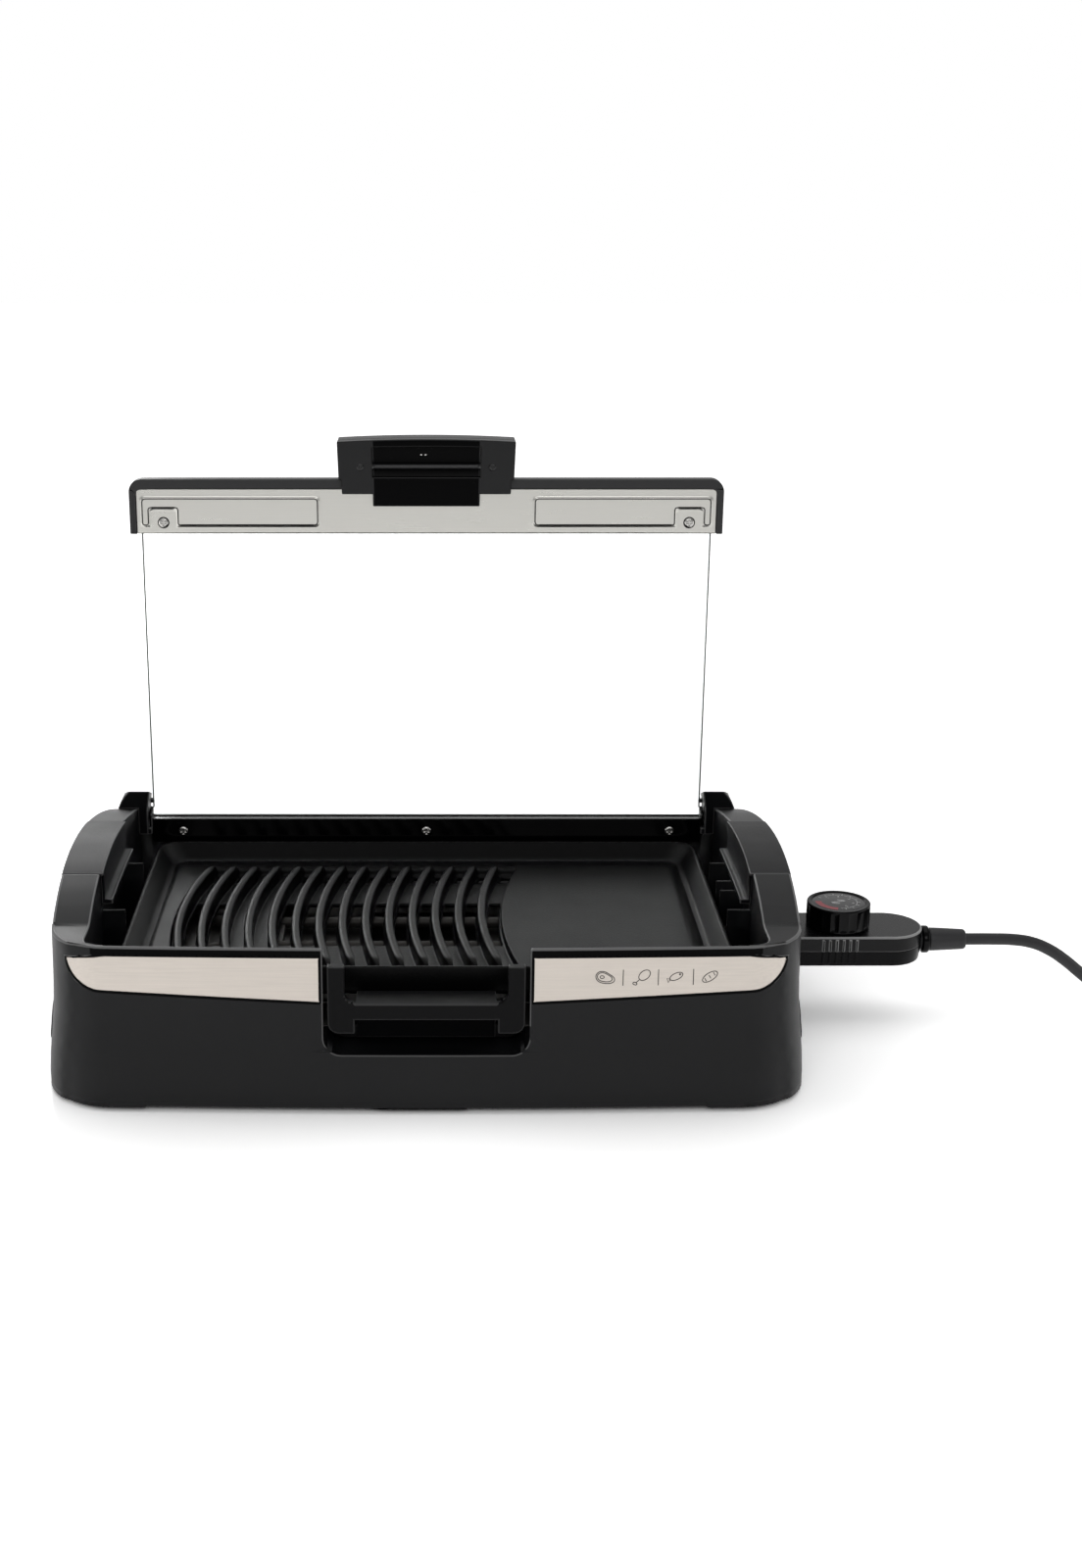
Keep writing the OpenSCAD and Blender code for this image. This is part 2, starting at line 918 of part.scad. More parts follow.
module probe_sleeve() {
    color(steel)
        difference() {
            rod_x(probe_tip - 5, bracket_x + 5, 0, element_z, sleeve_d);
            rod_x(probe_tip - 6, bracket_x + 6, 0, element_z, probe_d + 0.4);
        }
}

// A band that follows the ribs' curve, with its middle line at a place on X
module rib_band(x, width, y0, y1, z0, z1) {
    translate([0, 0, z0])
        linear_extrude(z1 - z0)
            intersection() {
                difference() {
                    translate([x + rib_r, rib_mid_y])
                        circle(r = rib_r + width / 2, $fn = 360);
                    translate([x + rib_r, rib_mid_y])
                        circle(r = rib_r - width / 2, $fn = 360);
                }
                translate([x - width, y0])
                    square([width + 60, y1 - y0]);
            }
}

// What lies inside the ribs' curve drawn at a place on X
module curve_side(x, y0, y1) {
    intersection() {
        translate([x + rib_r, rib_mid_y])
            circle(r = rib_r, $fn = 360);
        translate([x - 1, y0])
            square([rib_r, y1 - y0]);
    }
}

module grill_plate() {
    low_z = plate_z - plate_h;
    last_x = first_rib_x - (rib_count - 1) * rib_pitch;
    recess_x0 = last_x - rib_w / 2 - 1.5;
    recess_x1 = first_rib_x + rib_pitch - 2;
    floor_x = plate_x - rim_t - rim_slope;
    floor_y = plate_y - rim_t - rim_slope;
    color(iron)
        difference() {
            union() {
                difference() {
                    translate([0, 0, low_z])
                        linear_extrude(plate_h)
                            rounded(plate_w, plate_d, 12);
                    intersection() {
                        upright(-plate_y, plate_d)
                            polygon([
                                [-floor_x, griddle_z],
                                [floor_x, griddle_z],
                                [plate_x - rim_t, plate_z + eps],
                                [-plate_x + rim_t, plate_z + eps]
                            ]);
                        sideways(-plate_x, plate_w)
                            polygon([
                                [-floor_y, griddle_z],
                                [floor_y, griddle_z],
                                [plate_y - rim_t, plate_z + eps],
                                [-plate_y + rim_t, plate_z + eps]
                            ]);
                    }
                }
                translate([0, 0, channel_z - plate_t])
                    linear_extrude(griddle_z - channel_z)
                        difference() {
                            curve_side(recess_x0 - 3, rib_front_y - 3, rib_rear_y + 3);
                            curve_side(recess_x1 + 3, rib_front_y - 4, rib_rear_y + 4);
                        }
                for (x = [-1, 1], y = [-1, 1])
                    translate([x * leg_x, y * leg_y, floor_z])
                        cylinder(d = leg_d, h = low_z - floor_z + 1);
            }
            translate([0, 0, channel_z])
                linear_extrude(20)
                    difference() {
                        curve_side(recess_x0, rib_front_y, rib_rear_y);
                        curve_side(recess_x1, rib_front_y - 1, rib_rear_y + 1);
                    }
            for (k = [0:rib_count - 1])
                if (len(search(rib_count - 1 - k, solid_channels)) == 0)
                    for (span = slot_spans)
                        rib_band(
                            first_rib_x + (0.5 - k) * rib_pitch, slot_w, span[0], span[1],
                            channel_z - plate_t - 1, channel_z + 1
                        );
        }
    color(iron)
        for (k = [0:rib_count - 1])
            rib_band(
                first_rib_x - k * rib_pitch, rib_w, rib_front_y, rib_rear_y,
                channel_z, rib_top
            );
}

module lid_glass() {
    w = glass_w / 2;
    color("#dfe8ea", 0.3)
        difference() {
            upright(glass_front, glass_t)
                translate([0, hinge_z + (glass_top + glass_low) / 2])
                    rounded(glass_w, glass_top - glass_low, 3);
            for (x = rail_screw_places)
                rod_y(x, glass_front - 1, glass_rear + 1, rail_screw_z, screw_d + 2);
            for (x = [-strip_screw_x, strip_screw_x])
                rod_y(
                    x, glass_front - 1, glass_rear + 1, hinge_z + strip_screw_z, screw_d + 2
                );
        }
}

// The lid frame's outline in the front view, set in by a distance
module frame_shape(inset, top_inset, low) {
    w = lid_x - inset;
    z1 = hinge_z + lid_reach - top_inset;
    z0 = hinge_z + low;
    r = max(1, frame_r - inset);
    translate([-w, z0])
        square([2 * w, z1 - r - z0]);
    translate([-w + r, z1 - r - 1])
        square([2 * (w - r), r + 1]);
    for (x = [-1, 1])
        translate([x * (w - r), z1 - r])
            circle(r = r);
}

module lid_frame() {
    low = lid_reach - leg_l;
    color(black)
        difference() {
            upright(frame_front_y, frame_back_y + frame_back_t - frame_front_y)
                frame_shape(0, 0, low);
            upright(frame_front_y - 1, frame_back_y - frame_front_y + 1)
                frame_shape(leg_w, band_h, low - 1);
            for (x = [-strip_screw_x, strip_screw_x])
                rod_y(
                    x, glass_rear, frame_back_y + frame_back_t + 1, hinge_z + strip_screw_z,
                    screw_d + 0.1
                );
        }
}

// Right pocket pressed into the steel strip, with the tab that holds its screw
module pocket_shape() {
    difference() {
        translate([(pocket_x0 + pocket_x1) / 2, hinge_z + (pocket_low + pocket_top) / 2])
            rounded(pocket_x1 - pocket_x0, pocket_top - pocket_low, 3);
        translate([strip_screw_x, hinge_z + pocket_low])
            square([18.5, 24.6], center = true);
    }
}

module inner_strip() {
    low = lid_reach - leg_l;
    color(steel)
        difference() {
            upright(strip_y, strip_t)
                frame_shape(leg_w + fit, band_h + fit, low);
            for (x = [0, 1])
                mirror([x, 0, 0])
                    upright(strip_y - 1, 1.4)
                        pocket_shape();
            for (x = [-strip_screw_x, strip_screw_x])
                rod_y(x, strip_y - 1, glass_front, hinge_z + strip_screw_z, screw_d + 0.4);
        }
}

// A screw that goes in towards the rear from y0
module screw_back(x, z, y0, length, head) {
    rod_y(x, y0 - head, y0, z, 2 * screw_d);
    rod_y(x, y0 - head / 2, y0 + length, z, screw_d);
}

module strip_screws() {
    color("silver")
        for (x = [-strip_screw_x, strip_screw_x])
            screw_back(x, hinge_z + strip_screw_z, strip_y, 8, 1.2);
}

module handle_shell() {
    over_z = hinge_z + lid_reach + fit;
    top_z = hinge_z + handle_reach;
    color(black)
        difference() {
            union() {
                box(-handle_x, handle_x, handle_seam_y, handle_back_y, over_z, top_z);
                box(
                    -handle_x, handle_x, frame_back_y + frame_back_t + fit, handle_back_y,
                    hinge_z + handle_low, over_z
                );
            }
            box(
                -handle_x + 4, handle_x - 4, handle_seam_y - 1, handle_back_y - 5,
                over_z + 4, top_z - 4
            );
            for (x = [-1, 1])
                rod_y(
                    x * (recess_w / 2 + 8), handle_seam_y - 1, handle_back_y - 2, rod_level(),
                    screw_d + 0.1
                );
        }
}

function rod_level() = hinge_z + rod_z;

module handle_insert() {
    over_z = hinge_z + lid_reach + fit;
    top_z = hinge_z + handle_reach;
    lip_y = frame_front_y - fit;
    half = recess_w / 2;
    color(black)
        difference() {
            union() {
                box(
                    -handle_x, handle_x, handle_front_y, handle_seam_y - fit, over_z, top_z
                );
                box(
                    -handle_x + 2, handle_x - 2, handle_front_y, lip_y,
                    hinge_z + handle_low, over_z
                );
                box(-half, half, handle_front_y, lip_y, hinge_z + lip_low, over_z);
            }
            box(
                -half, half, handle_front_y - 1, handle_seam_y - 2.4,
                over_z + 2, top_z - 5
            );
            rod_x(-half - 4, half + 4, rod_y, rod_level(), rod_d + 0.1);
            for (x = [-1, 1])
                rod_y(
                    x * (half + 8), handle_front_y - 1, handle_seam_y, rod_level(),
                    screw_d + 0.4
                );
        }
}

module handle_rod() {
    color(dark)
        rod_x(-recess_w / 2 - 3.8, recess_w / 2 + 3.8, rod_y, rod_level(), rod_d);
}

module handle_screws() {
    color("silver")
        for (x = [-1, 1])
            screw_back(x * (recess_w / 2 + 8), rod_level(), handle_front_y, 15, 1);
}

module hinge_rail() {
    z0 = hinge_z + rail_low;
    z1 = hinge_z + rail_top;
    color(black)
        difference() {
            union() {
                box(-rail_x, rail_x, rail_front_y, rail_back_y, z0, z1);
                for (x = [-1, 1])
                    translate([x > 0 ? rail_x - eps : -cheek_x, 0, 0])
                        sideways(0, cheek_t + eps) {
                            translate([hinge_y, hinge_z])
                                circle(r = cheek_r);
                            translate([hinge_y - cheek_r, hinge_z - cheek_low])
                                square([2 * cheek_r, cheek_low]);
                        }
            }
            box(
                -rail_x, rail_x, glass_front - fit, glass_rear + fit,
                hinge_z + glass_low - 0.3, z1 + 30
            );
            for (x = rail_screw_places)
                rod_y(x, rail_front_y - 1, rail_back_y - 1, rail_screw_z, screw_d + 0.1);
            for (x = [-1, 1])
                rod_x(
                    x > 0 ? rail_x - 1 : -cheek_x - 1, x > 0 ? cheek_x + 1 : -rail_x + 1,
                    hinge_y, hinge_z, pin_d + 0.04
                );
        }
}

module rail_screws() {
    color("silver")
        for (x = rail_screw_places)
            screw_back(x, rail_screw_z, rail_front_y, rail_back_y - rail_front_y - 1.2, 1.2);
}

module hinge_pins() {
    color("silver")
        for (x = [-1, 1])
            rod_x(
                x > 0 ? rail_x + 0.1 : -pin_end_x, x > 0 ? pin_end_x : -rail_x - 0.1,
                hinge_y, hinge_z, pin_d
            );
}

// The drip tray's section, set in by a distance
module tray_shape(inset) {
    x = tray_w / 2 - inset;
    r = notch_r - 3 - inset;
    z0 = tray_z + inset;
    translate([-x, z0 + r])
        square([2 * x, tray_h - r - inset + (inset > 0 ? 1 : 0)]);
    translate([-x + r, z0])
        square([2 * (x - r), r + eps]);
    for (s = [-1, 1])
        translate([s * (x - r), z0 + r])
            circle(r = r);
}

module drip_tray() {
    color("#8d8d8f")
        difference() {
            upright(tray_front_y, tray_l)
                intersection() {
                    tray_shape(0);
                    translate([-tray_w, 0])
                        square([2 * tray_w, tray_z + tray_h]);
                }
            upright(tray_front_y + tray_t, tray_l - 2 * tray_t)
                tray_shape(tray_t);
            for (s = [-1, 1])
                rod_y(s * 30, tray_front_y - 1, tray_front_y + 5, tray_z + 5.5, 2.8);
        }
}

// The H-shaped front of the drip tray, with a shelf and a web back to the tray
module tray_handle() {
    x = upright_x;
    r = 7;
    low_x = x - 16.7;
    web_t = 3;
    color(black) {
        upright(bar_front_y, bar_t)
            difference() {
                union() {
                    translate([-x, tab_low + r])
                        square([2 * x, upright_z - tab_low - r]);
                    translate([-x + r, tab_low])
                        square([2 * (x - r), r + 1]);
                    for (s = [-1, 1])
                        translate([s * (x - r), tab_low + r])
                            circle(r = r);
                }
                translate([-x + upright_w + r, bar_z])
                    square([2 * (x - upright_w - r), 60]);
                translate([-x + upright_w, bar_z + r])
                    square([2 * (x - upright_w), 60]);
                for (s = [-1, 1])
                    translate([s * (x - upright_w - r), bar_z + r])
                        circle(r = r);
                translate([-low_x, 0])
                    square([2 * low_x, bar_z - bar_h]);
            }
        box(
            -x + upright_w + r, x - upright_w - r, bar_front_y + bar_t - eps,
            tray_front_y, bar_z - 4, bar_z
        );
        box(
            -x + upright_w + r, x - upright_w - r, tray_front_y - web_t,
            tray_front_y, tray_z + 1.5, bar_z - 4 + eps
        );
    }
}

module tray_screws() {
    color("silver")
        for (s = [-1, 1]) {
            rod_y(
                s * 30, tray_front_y + tray_t, tray_front_y + tray_t + 1.4, tray_z + 5.5, 5
            );
        }
}

// The case's outline seen from above, set in by a distance
module case_shape(inset) {
    r = case_w / 2 - inset;
    x0 = case_x0 + inset;
    x1 = case_x1 - case_w / 2;
    translate([x0, -r])
        square([x1 - x0, 2 * r]);
    translate([x1, 0])
        circle(r = r);
}

// The six finger ribs on each side of the case
module case_ribs(z0, z1) {
    for (k = [0:5], y = [-1, 1])
        translate([knob_x - 13 + k * 4.4, y * case_w / 2, (z0 + z1) / 2])
            cube([1.6, 1.4, z1 - z0], center = true);
}

module case_cut() {
    box(
        case_x0 - 1, nose_x1 + fit, -nose_y - fit, nose_y + fit, nose_z0 - fit,
        nose_z1 + fit
    );
    rod_x(case_x1 - 8, case_x1 + 1, 0, case_mid_z, 14);
}

module case_top() {
    z0 = case_mid_z + 0.05;
    z1 = case_z + case_h;
    color("#17171a")
        difference() {
            union() {
                difference() {
                    translate([0, 0, z0])
                        linear_extrude(z1 - z0)
                            case_shape(0);
                    translate([0, 0, z0 - 1])
                        linear_extrude(z1 - z0 + 1 - case_t)
                            case_shape(case_t);
                }
                intersection() {
                    case_ribs(z0, z1 - 2);
                    box(case_x0, case_x1, -case_w, case_w, z0, z1);
                }
                for (p = case_screw_places)
                    translate([p[0], p[1], z0])
                        cylinder(d = 7, h = z1 - z0 - 1);
                box(
                    bulkhead_x, bulkhead_x + case_t, 1 - case_w / 2, case_w / 2 - 1,
                    z0, z1 - 1
                );
            }
            case_cut();
            translate([knob_x, 0, z0])
                cylinder(d = shaft_d + 0.12, h = 30);
            for (p = case_screw_places)
                translate([p[0], p[1], z0 - 1])
                    cylinder(d = 3.05, h = z1 - z0 - 2);
        }
}

module case_bottom() {
    z1 = case_mid_z - 0.05;
    color("#17171a")
        difference() {
            union() {
                difference() {
                    translate([0, 0, case_z])
                        linear_extrude(z1 - case_z)
                            case_shape(0);
                    translate([0, 0, case_z + case_t])
                        linear_extrude(z1 - case_z)
                            case_shape(case_t);
                }
                case_ribs(case_z + 2, z1);
                for (p = case_screw_places)
                    translate([p[0], p[1], case_z])
                        cylinder(d = 8.6, h = z1 - case_z);
            }
            case_cut();
            for (p = case_screw_places)
                translate([p[0], p[1], case_z - 1]) {
                    cylinder(d = 3.3, h = 30);
                    cylinder(d = 6, h = 3.5);
                }
        }
}

module case_screws() {
    color("silver")
        for (p = case_screw_places) {
            translate([p[0], p[1], case_z + 0.7])
                cylinder(d = 5.5, h = 1.8);
            translate([p[0], p[1], case_z + 2.4])
                cylinder(d = 3, h = case_h - 8);
        }
}

module plug_nose() {
    color("#26211d")
        difference() {
            box(nose_x0, nose_x1, -nose_y, nose_y, nose_z0, nose_z1);
            for (y = [-terminal_y, terminal_y])
                rod_x(nose_x0 - 1, nose_x1 + 1, y, element_z, contact_d + 0.1);
            rod_x(nose_x0 - 1, nose_x1 + 1, 0, element_z, probe_d + 0.1);
        }
}

module probe_rod() {
    color("silver")
        rod_x(probe_tip, nose_x1 + 6, 0, element_z, probe_d);
}

module contact_sleeves() {
    color("#c49a45")
        for (y = [-terminal_y, terminal_y])
            difference() {
                rod_x(nose_x0 + 1, nose_x1 + 2, y, element_z, contact_d);
                rod_x(nose_x0, nose_x0 + 16, y, element_z, terminal_d + 0.2);
            }
}

module thermostat() {
    color("#d8d2c4")
        box(knob_x - 17, knob_x + 17, -13, 13, case_z + case_t, case_mid_z - 1);
}

module strain_relief() {
    color(rubber)
        translate([0, 0, case_mid_z])
            rotate([0, 90, 0])
                rotate_extrude()
                    polygon([
                        [0, case_x1 - 8],
                        [8, case_x1 - 8],
                        [8, case_x1 - 5],
                        [6.9, case_x1 - 5],
                        [6.9, case_x1 + 0.3],
                        [9, case_x1 + 0.3],
                        [9, relief_x],
                        [7.3, relief_x],
                        [6, cord_x],
                        [0, cord_x]
                    ]);
}

// A tube of round section swept along points: each ring is square to the line there
function unit(v) = v / norm(v);
function line_way(p, i) = unit(
    p[min(i + 1, len(p) - 1)] - p[max(i - 1, 0)]
);
function tube_ring(p, i, r, sides, way) = let (
    side = unit(cross(way, [0, 0, 1])),
    up = cross(side, way)
) [
    for (k = [0:sides - 1])
        p[i] + r * (cos(360 * k / sides) * side + sin(360 * k / sides) * up)
];

module tube(p, r, sides, first, last) {
    n = len(p);
    points = [
        for (i = [0:n - 1])
            each tube_ring(
                p, i, r, sides, i == 0 ? first : (i == n - 1 ? last : line_way(p, i))
            )
    ];
    sides_faces = [
        for (i = [0:n - 2], k = [0:sides - 1])
            let (a = i * sides + k, b = i * sides + (k + 1) % sides)
                each [[a, a + sides, b + sides], [a, b + sides, b]]
    ];
    caps = [
        for (k = [1:sides - 2])
            each [
                [0, k, k + 1],
                [(n - 1) * sides, (n - 1) * sides + k + 1, (n - 1) * sides + k]
            ]
    ];
    polyhedron(points = points, faces = concat(sides_faces, caps), convexity = 10);
}

module cord_lead() {
    color(rubber)
        tube(lead_points, cord_r, lead_sides, [1, 0, 0], [1, 0, 0]);
}

// The coil spirals in and out again, and climbs a layer in the half turn at the middle
function coil_radius(t) = coil_r - coil_pitch * (coil_half - abs(t - coil_half));
function ease(u) = let (v = min(1, max(0, u))) v * v * (3 - 2 * v);
function coil_point(t) = [
    coil_mid[0] + coil_radius(t) * sin(360 * t),
    coil_mid[1] - coil_radius(t) * cos(360 * t),
    cord_low + coil_layer * ease((t - coil_half) * 2 + 0.5)
];
coil_end = coil_point(coil_turns);
coil_points = concat(
    [[coil_x - coil_lead, 0, cord_low]],
    [for (i = [0:coil_turns * coil_steps]) coil_point(i / coil_steps)],
    [coil_end + [0, coil_lead, 0]]
);

// The least gap between two loops, from the middle line's points half a loop or more apart
coil_gap = min([
    for (i = [0:len(coil_points) - 1], j = [i + coil_steps / 2:1:len(coil_points) - 1])
        norm(coil_points[i] - coil_points[j])
]) - cord_d;
echo("cord coil: least gap to itself", coil_gap);

module cord_coil() {
    color(rubber)
        tube(coil_points, cord_r, coil_sides, [1, 0, 0], [0, 1, 0]);
}

plug_z = plug_d / 2 + 0.2;
tail_points = [
    coil_end + [0, coil_lead, 0],
    coil_end + [0, coil_lead + 10, 0.6],
    coil_end + [0, coil_lead + 20, 3],
    coil_end + [0, coil_lead + 30, 5.3],
    [coil_end[0], coil_end[1] + coil_lead + 40, plug_z]
];
tail_end = tail_points[4];

module cord_tail() {
    color(rubber)
        tube(tail_points, cord_r, lead_sides, [0, 1, 0], [0, 1, 0]);
}

// The strap round all the loops, at the coil's rear
module cord_tie() {
    r0 = coil_r - coil_pitch * (coil_half - 0.3) - cord_r - 0.5;
    r1 = coil_r + cord_r + 0.4;
    z1 = cord_low + coil_layer + cord_r + 0.5;
    y0 = coil_mid[1];
    tie_t = 0.6;
    tie_w = 11;
    color("#101010")
        difference() {
            box(
                coil_x - tie_w / 2, coil_x + tie_w / 2, y0 + r0 - tie_t, y0 + r1 + tie_t,
                0.05, z1 + tie_t
            );
            box(
                coil_x - tie_w, coil_x + tie_w, y0 + r0, y0 + r1,
                0.05 + tie_t, z1
            );
        }
}

module plug_body() {
    color(rubber)
        translate([tail_end[0], tail_end[1], plug_z])
            rotate([-90, 0, 0])
                rotate_extrude()
                    polygon([
                        [0, 0],
                        [5.5, 0],
                        [7.5, 20],
                        [12, 22],
                        [15, 34],
                        [plug_d / 2, 38],
                        [plug_d / 2, 54],
                        [0, 54]
                    ]);
}

module plug_pins() {
    color("silver")
        for (x = [-9.5, 9.5])
            rod_y(
                tail_end[0] + x, tail_end[1] + 54, tail_end[1] + 54 + plug_pin_l, plug_z, 4.8
            );
}

module knob() {
    color("#0e0e10")
        translate([knob_x, 0, knob_z])
            difference() {
                cylinder(d = knob_d, h = knob_h);
                translate([0, 0, knob_h - 1])
                    cylinder(d = dial_d + 0.4, h = 2);
                translate([0, 0, -1])
                    difference() {
                        cylinder(d = knob_d - 6, h = knob_h - 3);
                        cylinder(d = shaft_d + 6, h = knob_h);
                    }
                translate([0, 0, -1])
                    cylinder(d = shaft_d + 0.06, h = knob_h - 3);
            }
}

module knob_dial() {
    color("#1a1a1a")
        translate([knob_x, 0, knob_z + knob_h - 1])
            cylinder(d = dial_d, h = 0.7);
}

module control_shaft() {
    color("silver")
        translate([knob_x, 0, case_mid_z - 0.8])
            cylinder(d = shaft_d, h = knob_z + knob_h - 4.2 - case_mid_z + 0.8);
}

housing();
bottom_cover();
bottom_screws();
rubber_feet();
trim_plate_left();
trim_plate_right();
grip_left();
grip_right();
side_panel_left();
side_panel_right();
hinge_post_left();
hinge_post_right();
tray_guide();
well_screws();
reflector_pan();
heating_element();
element_supports();
terminal_bracket();
terminal_insulators();
terminal_pins();
probe_sleeve();
grill_plate();
lid_glass();
lid_frame();
inner_strip();
strip_screws();
handle_shell();
handle_insert();
handle_rod();
handle_screws();
hinge_rail();
rail_screws();
hinge_pins();
drip_tray();
tray_handle();
tray_screws();
case_top();
case_bottom();
case_screws();
plug_nose();
probe_rod();
contact_sleeves();
thermostat();
strain_relief();
cord_lead();
cord_coil();
cord_tail();
cord_tie();
plug_body();
plug_pins();
knob();
knob_dial();
control_shaft();
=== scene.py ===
import math

import bmesh
import bpy
import mathutils
import numpy as np
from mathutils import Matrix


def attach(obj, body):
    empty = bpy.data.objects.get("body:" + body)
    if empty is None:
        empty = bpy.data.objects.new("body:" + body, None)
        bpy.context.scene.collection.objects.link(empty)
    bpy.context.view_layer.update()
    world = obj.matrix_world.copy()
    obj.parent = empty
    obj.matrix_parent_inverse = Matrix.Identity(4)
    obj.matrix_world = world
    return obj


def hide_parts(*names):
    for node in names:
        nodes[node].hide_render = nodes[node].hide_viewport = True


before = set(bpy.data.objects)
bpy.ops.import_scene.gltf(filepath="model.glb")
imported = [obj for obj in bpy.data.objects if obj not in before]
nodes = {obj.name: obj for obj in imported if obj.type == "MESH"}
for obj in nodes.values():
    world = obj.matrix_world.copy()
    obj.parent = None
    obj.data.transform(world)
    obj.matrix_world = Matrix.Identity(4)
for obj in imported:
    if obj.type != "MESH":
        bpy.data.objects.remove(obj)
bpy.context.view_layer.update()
mm = 0.001
print("frame loaded:", len(nodes), "nodes")


def put(name, data):
    obj = bpy.data.objects.new(name, data)
    bpy.context.collection.objects.link(obj)
    return obj


camera = {
    "place": (0.0, -1.309, 0.5784),
    "pitch": 17.6,  # degrees down
    "lens": 47.45,
    "shift": 0.0731,  # the photograph is cropped to the right of the lens's middle
}


def makeCamera(c):
    data = bpy.data.cameras.new("photoCamera")
    data.sensor_width = 36
    data.lens = c["lens"]
    data.shift_x = c["shift"]
    data.clip_start = 0.05
    obj = put("photoCamera", data)
    obj.location = c["place"]
    obj.rotation_euler = (math.radians(90 - c["pitch"]), 0, 0)
    bpy.context.scene.camera = obj


makeCamera(camera)
scene = bpy.context.scene
scene.view_settings.view_transform = "Standard"


# materials: every pattern reads Object coordinates, in metres

# edge: how much paler a finish's copy for rounded edges is, a painted highlight along them
finishes = {
    "bodyPlastic": {"color": (0.0022, 0.0024, 0.0032), "rough": 0.38, "grain": 1500, "depth": 0.05,
                    "specular": 0.28, "edge": 0.16},
    "coverPlastic": {"color": (0.015, 0.015, 0.016), "rough": 0.55, "grain": 1200, "depth": 0.08},
    "gripPlastic": {"color": (0.004, 0.004, 0.005), "rough": 0.42, "grain": 1300, "depth": 0.09,
                    "specular": 0.2, "edge": 0.10},
    "postPlastic": {"color": (0.004, 0.004, 0.005), "rough": 0.36, "grain": 1500, "depth": 0.03,
                    "specular": 0.2, "edge": 0.06},
    "framePlastic": {"color": (0.019, 0.019, 0.020), "rough": 0.42, "grain": 1500, "depth": 0.05},
    "handlePlastic": {"color": (0.006, 0.0062, 0.007), "rough": 0.38, "grain": 1500, "depth": 0.04,
                      "specular": 0.35},
    # near-black, almost without gloss: the handle's black insert, and the painted shade of the trim
    # gaps, the lip and the rings under the strip screws
    "insertPlastic": {"color": (0.0012, 0.0012, 0.0014), "rough": 0.25, "grain": 1600,
                      "depth": 0.02, "specular": 0.05, "edge": 0.03},
    "rodPlastic": {"color": (0.012, 0.012, 0.013), "rough": 0.25, "grain": 1600, "depth": 0.02},
    "railPlastic": {"color": (0.0008, 0.0008, 0.001), "rough": 0.12, "grain": 900, "depth": 0.01,
                    "specular": 0.4},
    "trayPlastic": {"color": (0.0015, 0.0015, 0.002), "rough": 0.36, "grain": 1500, "depth": 0.05,
                    "specular": 0.12, "edge": 0.05},
    "casePlastic": {"color": (0.003, 0.003, 0.0035), "rough": 0.26, "grain": 1500, "depth": 0.04,
                    "specular": 0.22, "edge": 0.34},
    # the case's plastic again, darker and less glossy: painted shade on the lower half, which faces
    # a little down
    "caseDark": {"color": (0.0015, 0.0015, 0.002), "rough": 0.26, "grain": 1500, "depth": 0.04,
                 "specular": 0.12},
    "knobPlastic": {"color": (0.001, 0.001, 0.0013), "rough": 0.12, "grain": 900, "depth": 0.01,
                    "specular": 0.15},
    "dialPrint": {"color": (0.010, 0.010, 0.011), "rough": 0.22, "grain": 1200, "depth": 0.02},
    "dialWhite": {"color": (0.62, 0.62, 0.62), "rough": 0.4, "grain": 1200, "depth": 0.02},
    "dialRed": {"color": (0.30, 0.012, 0.025), "rough": 0.35, "grain": 1200, "depth": 0.02},
    "noseBakelite": {"color": (0.016, 0.013, 0.012), "rough": 0.6, "grain": 700, "depth": 0.12},
    "ceramic": {"color": (0.62, 0.58, 0.51), "rough": 0.55, "grain": 600, "depth": 0.06},
    "trimSteel": {"color": (0.66, 0.605, 0.55), "rough": 0.36, "metal": 1.0, "grain": 800,
                  "depth": 0.10, "stretch": (0.018, 1, 1), "vary": 0.17},
    "stripSteel": {"color": (0.68, 0.67, 0.63), "rough": 0.30, "metal": 1.0, "grain": 900,
                   "depth": 0.02, "stretch": (0.02, 1, 1), "vary": 0.05},
    "screwSteel": {"color": (0.60, 0.59, 0.57), "rough": 0.24, "metal": 1.0, "grain": 1500,
                   "depth": 0.06, "vary": 0.12},
    "pinSteel": {"color": (0.58, 0.57, 0.55), "rough": 0.2, "metal": 1.0, "grain": 1500,
                 "depth": 0.03, "vary": 0.06},
    "sheetSteel": {"color": (0.20, 0.195, 0.19), "rough": 0.42, "metal": 1.0, "grain": 700,
                   "depth": 0.08, "stretch": (0.05, 1, 1), "vary": 0.2},
    "elementTube": {"color": (0.05, 0.047, 0.044), "rough": 0.5, "metal": 0.6, "grain": 800,
                    "depth": 0.12, "vary": 0.3},
    "plateCoating": {"color": (0.002, 0.002, 0.0022), "rough": 0.34, "grain": 850, "depth": 0.22,
                     "vary": 0.12, "specular": 0.11},
    # a dark coating, darkened further as painted shade on the tray's front wall behind the handle
    "trayCoating": {"color": (0.006, 0.006, 0.0065), "rough": 0.42, "grain": 700, "depth": 0.10,
                    "vary": 0.12, "specular": 0.2},
    "contactBrass": {"color": (0.60, 0.42, 0.14), "rough": 0.3, "metal": 1.0, "grain": 900,
                     "depth": 0.05, "vary": 0.1},
    "footRubber": {"color": (0.010, 0.010, 0.010), "rough": 0.75, "grain": 900, "depth": 0.15},
    "cordRubber": {"color": (0.019, 0.019, 0.021), "rough": 0.5, "grain": 1100, "depth": 0.10},
    # the etched signs on the trim, and also the painted shade lines round the lid's pockets
    "iconEtch": {"color": (0.03, 0.027, 0.025), "rough": 0.5, "metal": 0.2, "grain": 1200,
                 "depth": 0.04},
    "glassEdge": {"color": (0.16, 0.175, 0.17), "rough": 0.3, "grain": 500, "depth": 0.02},
}


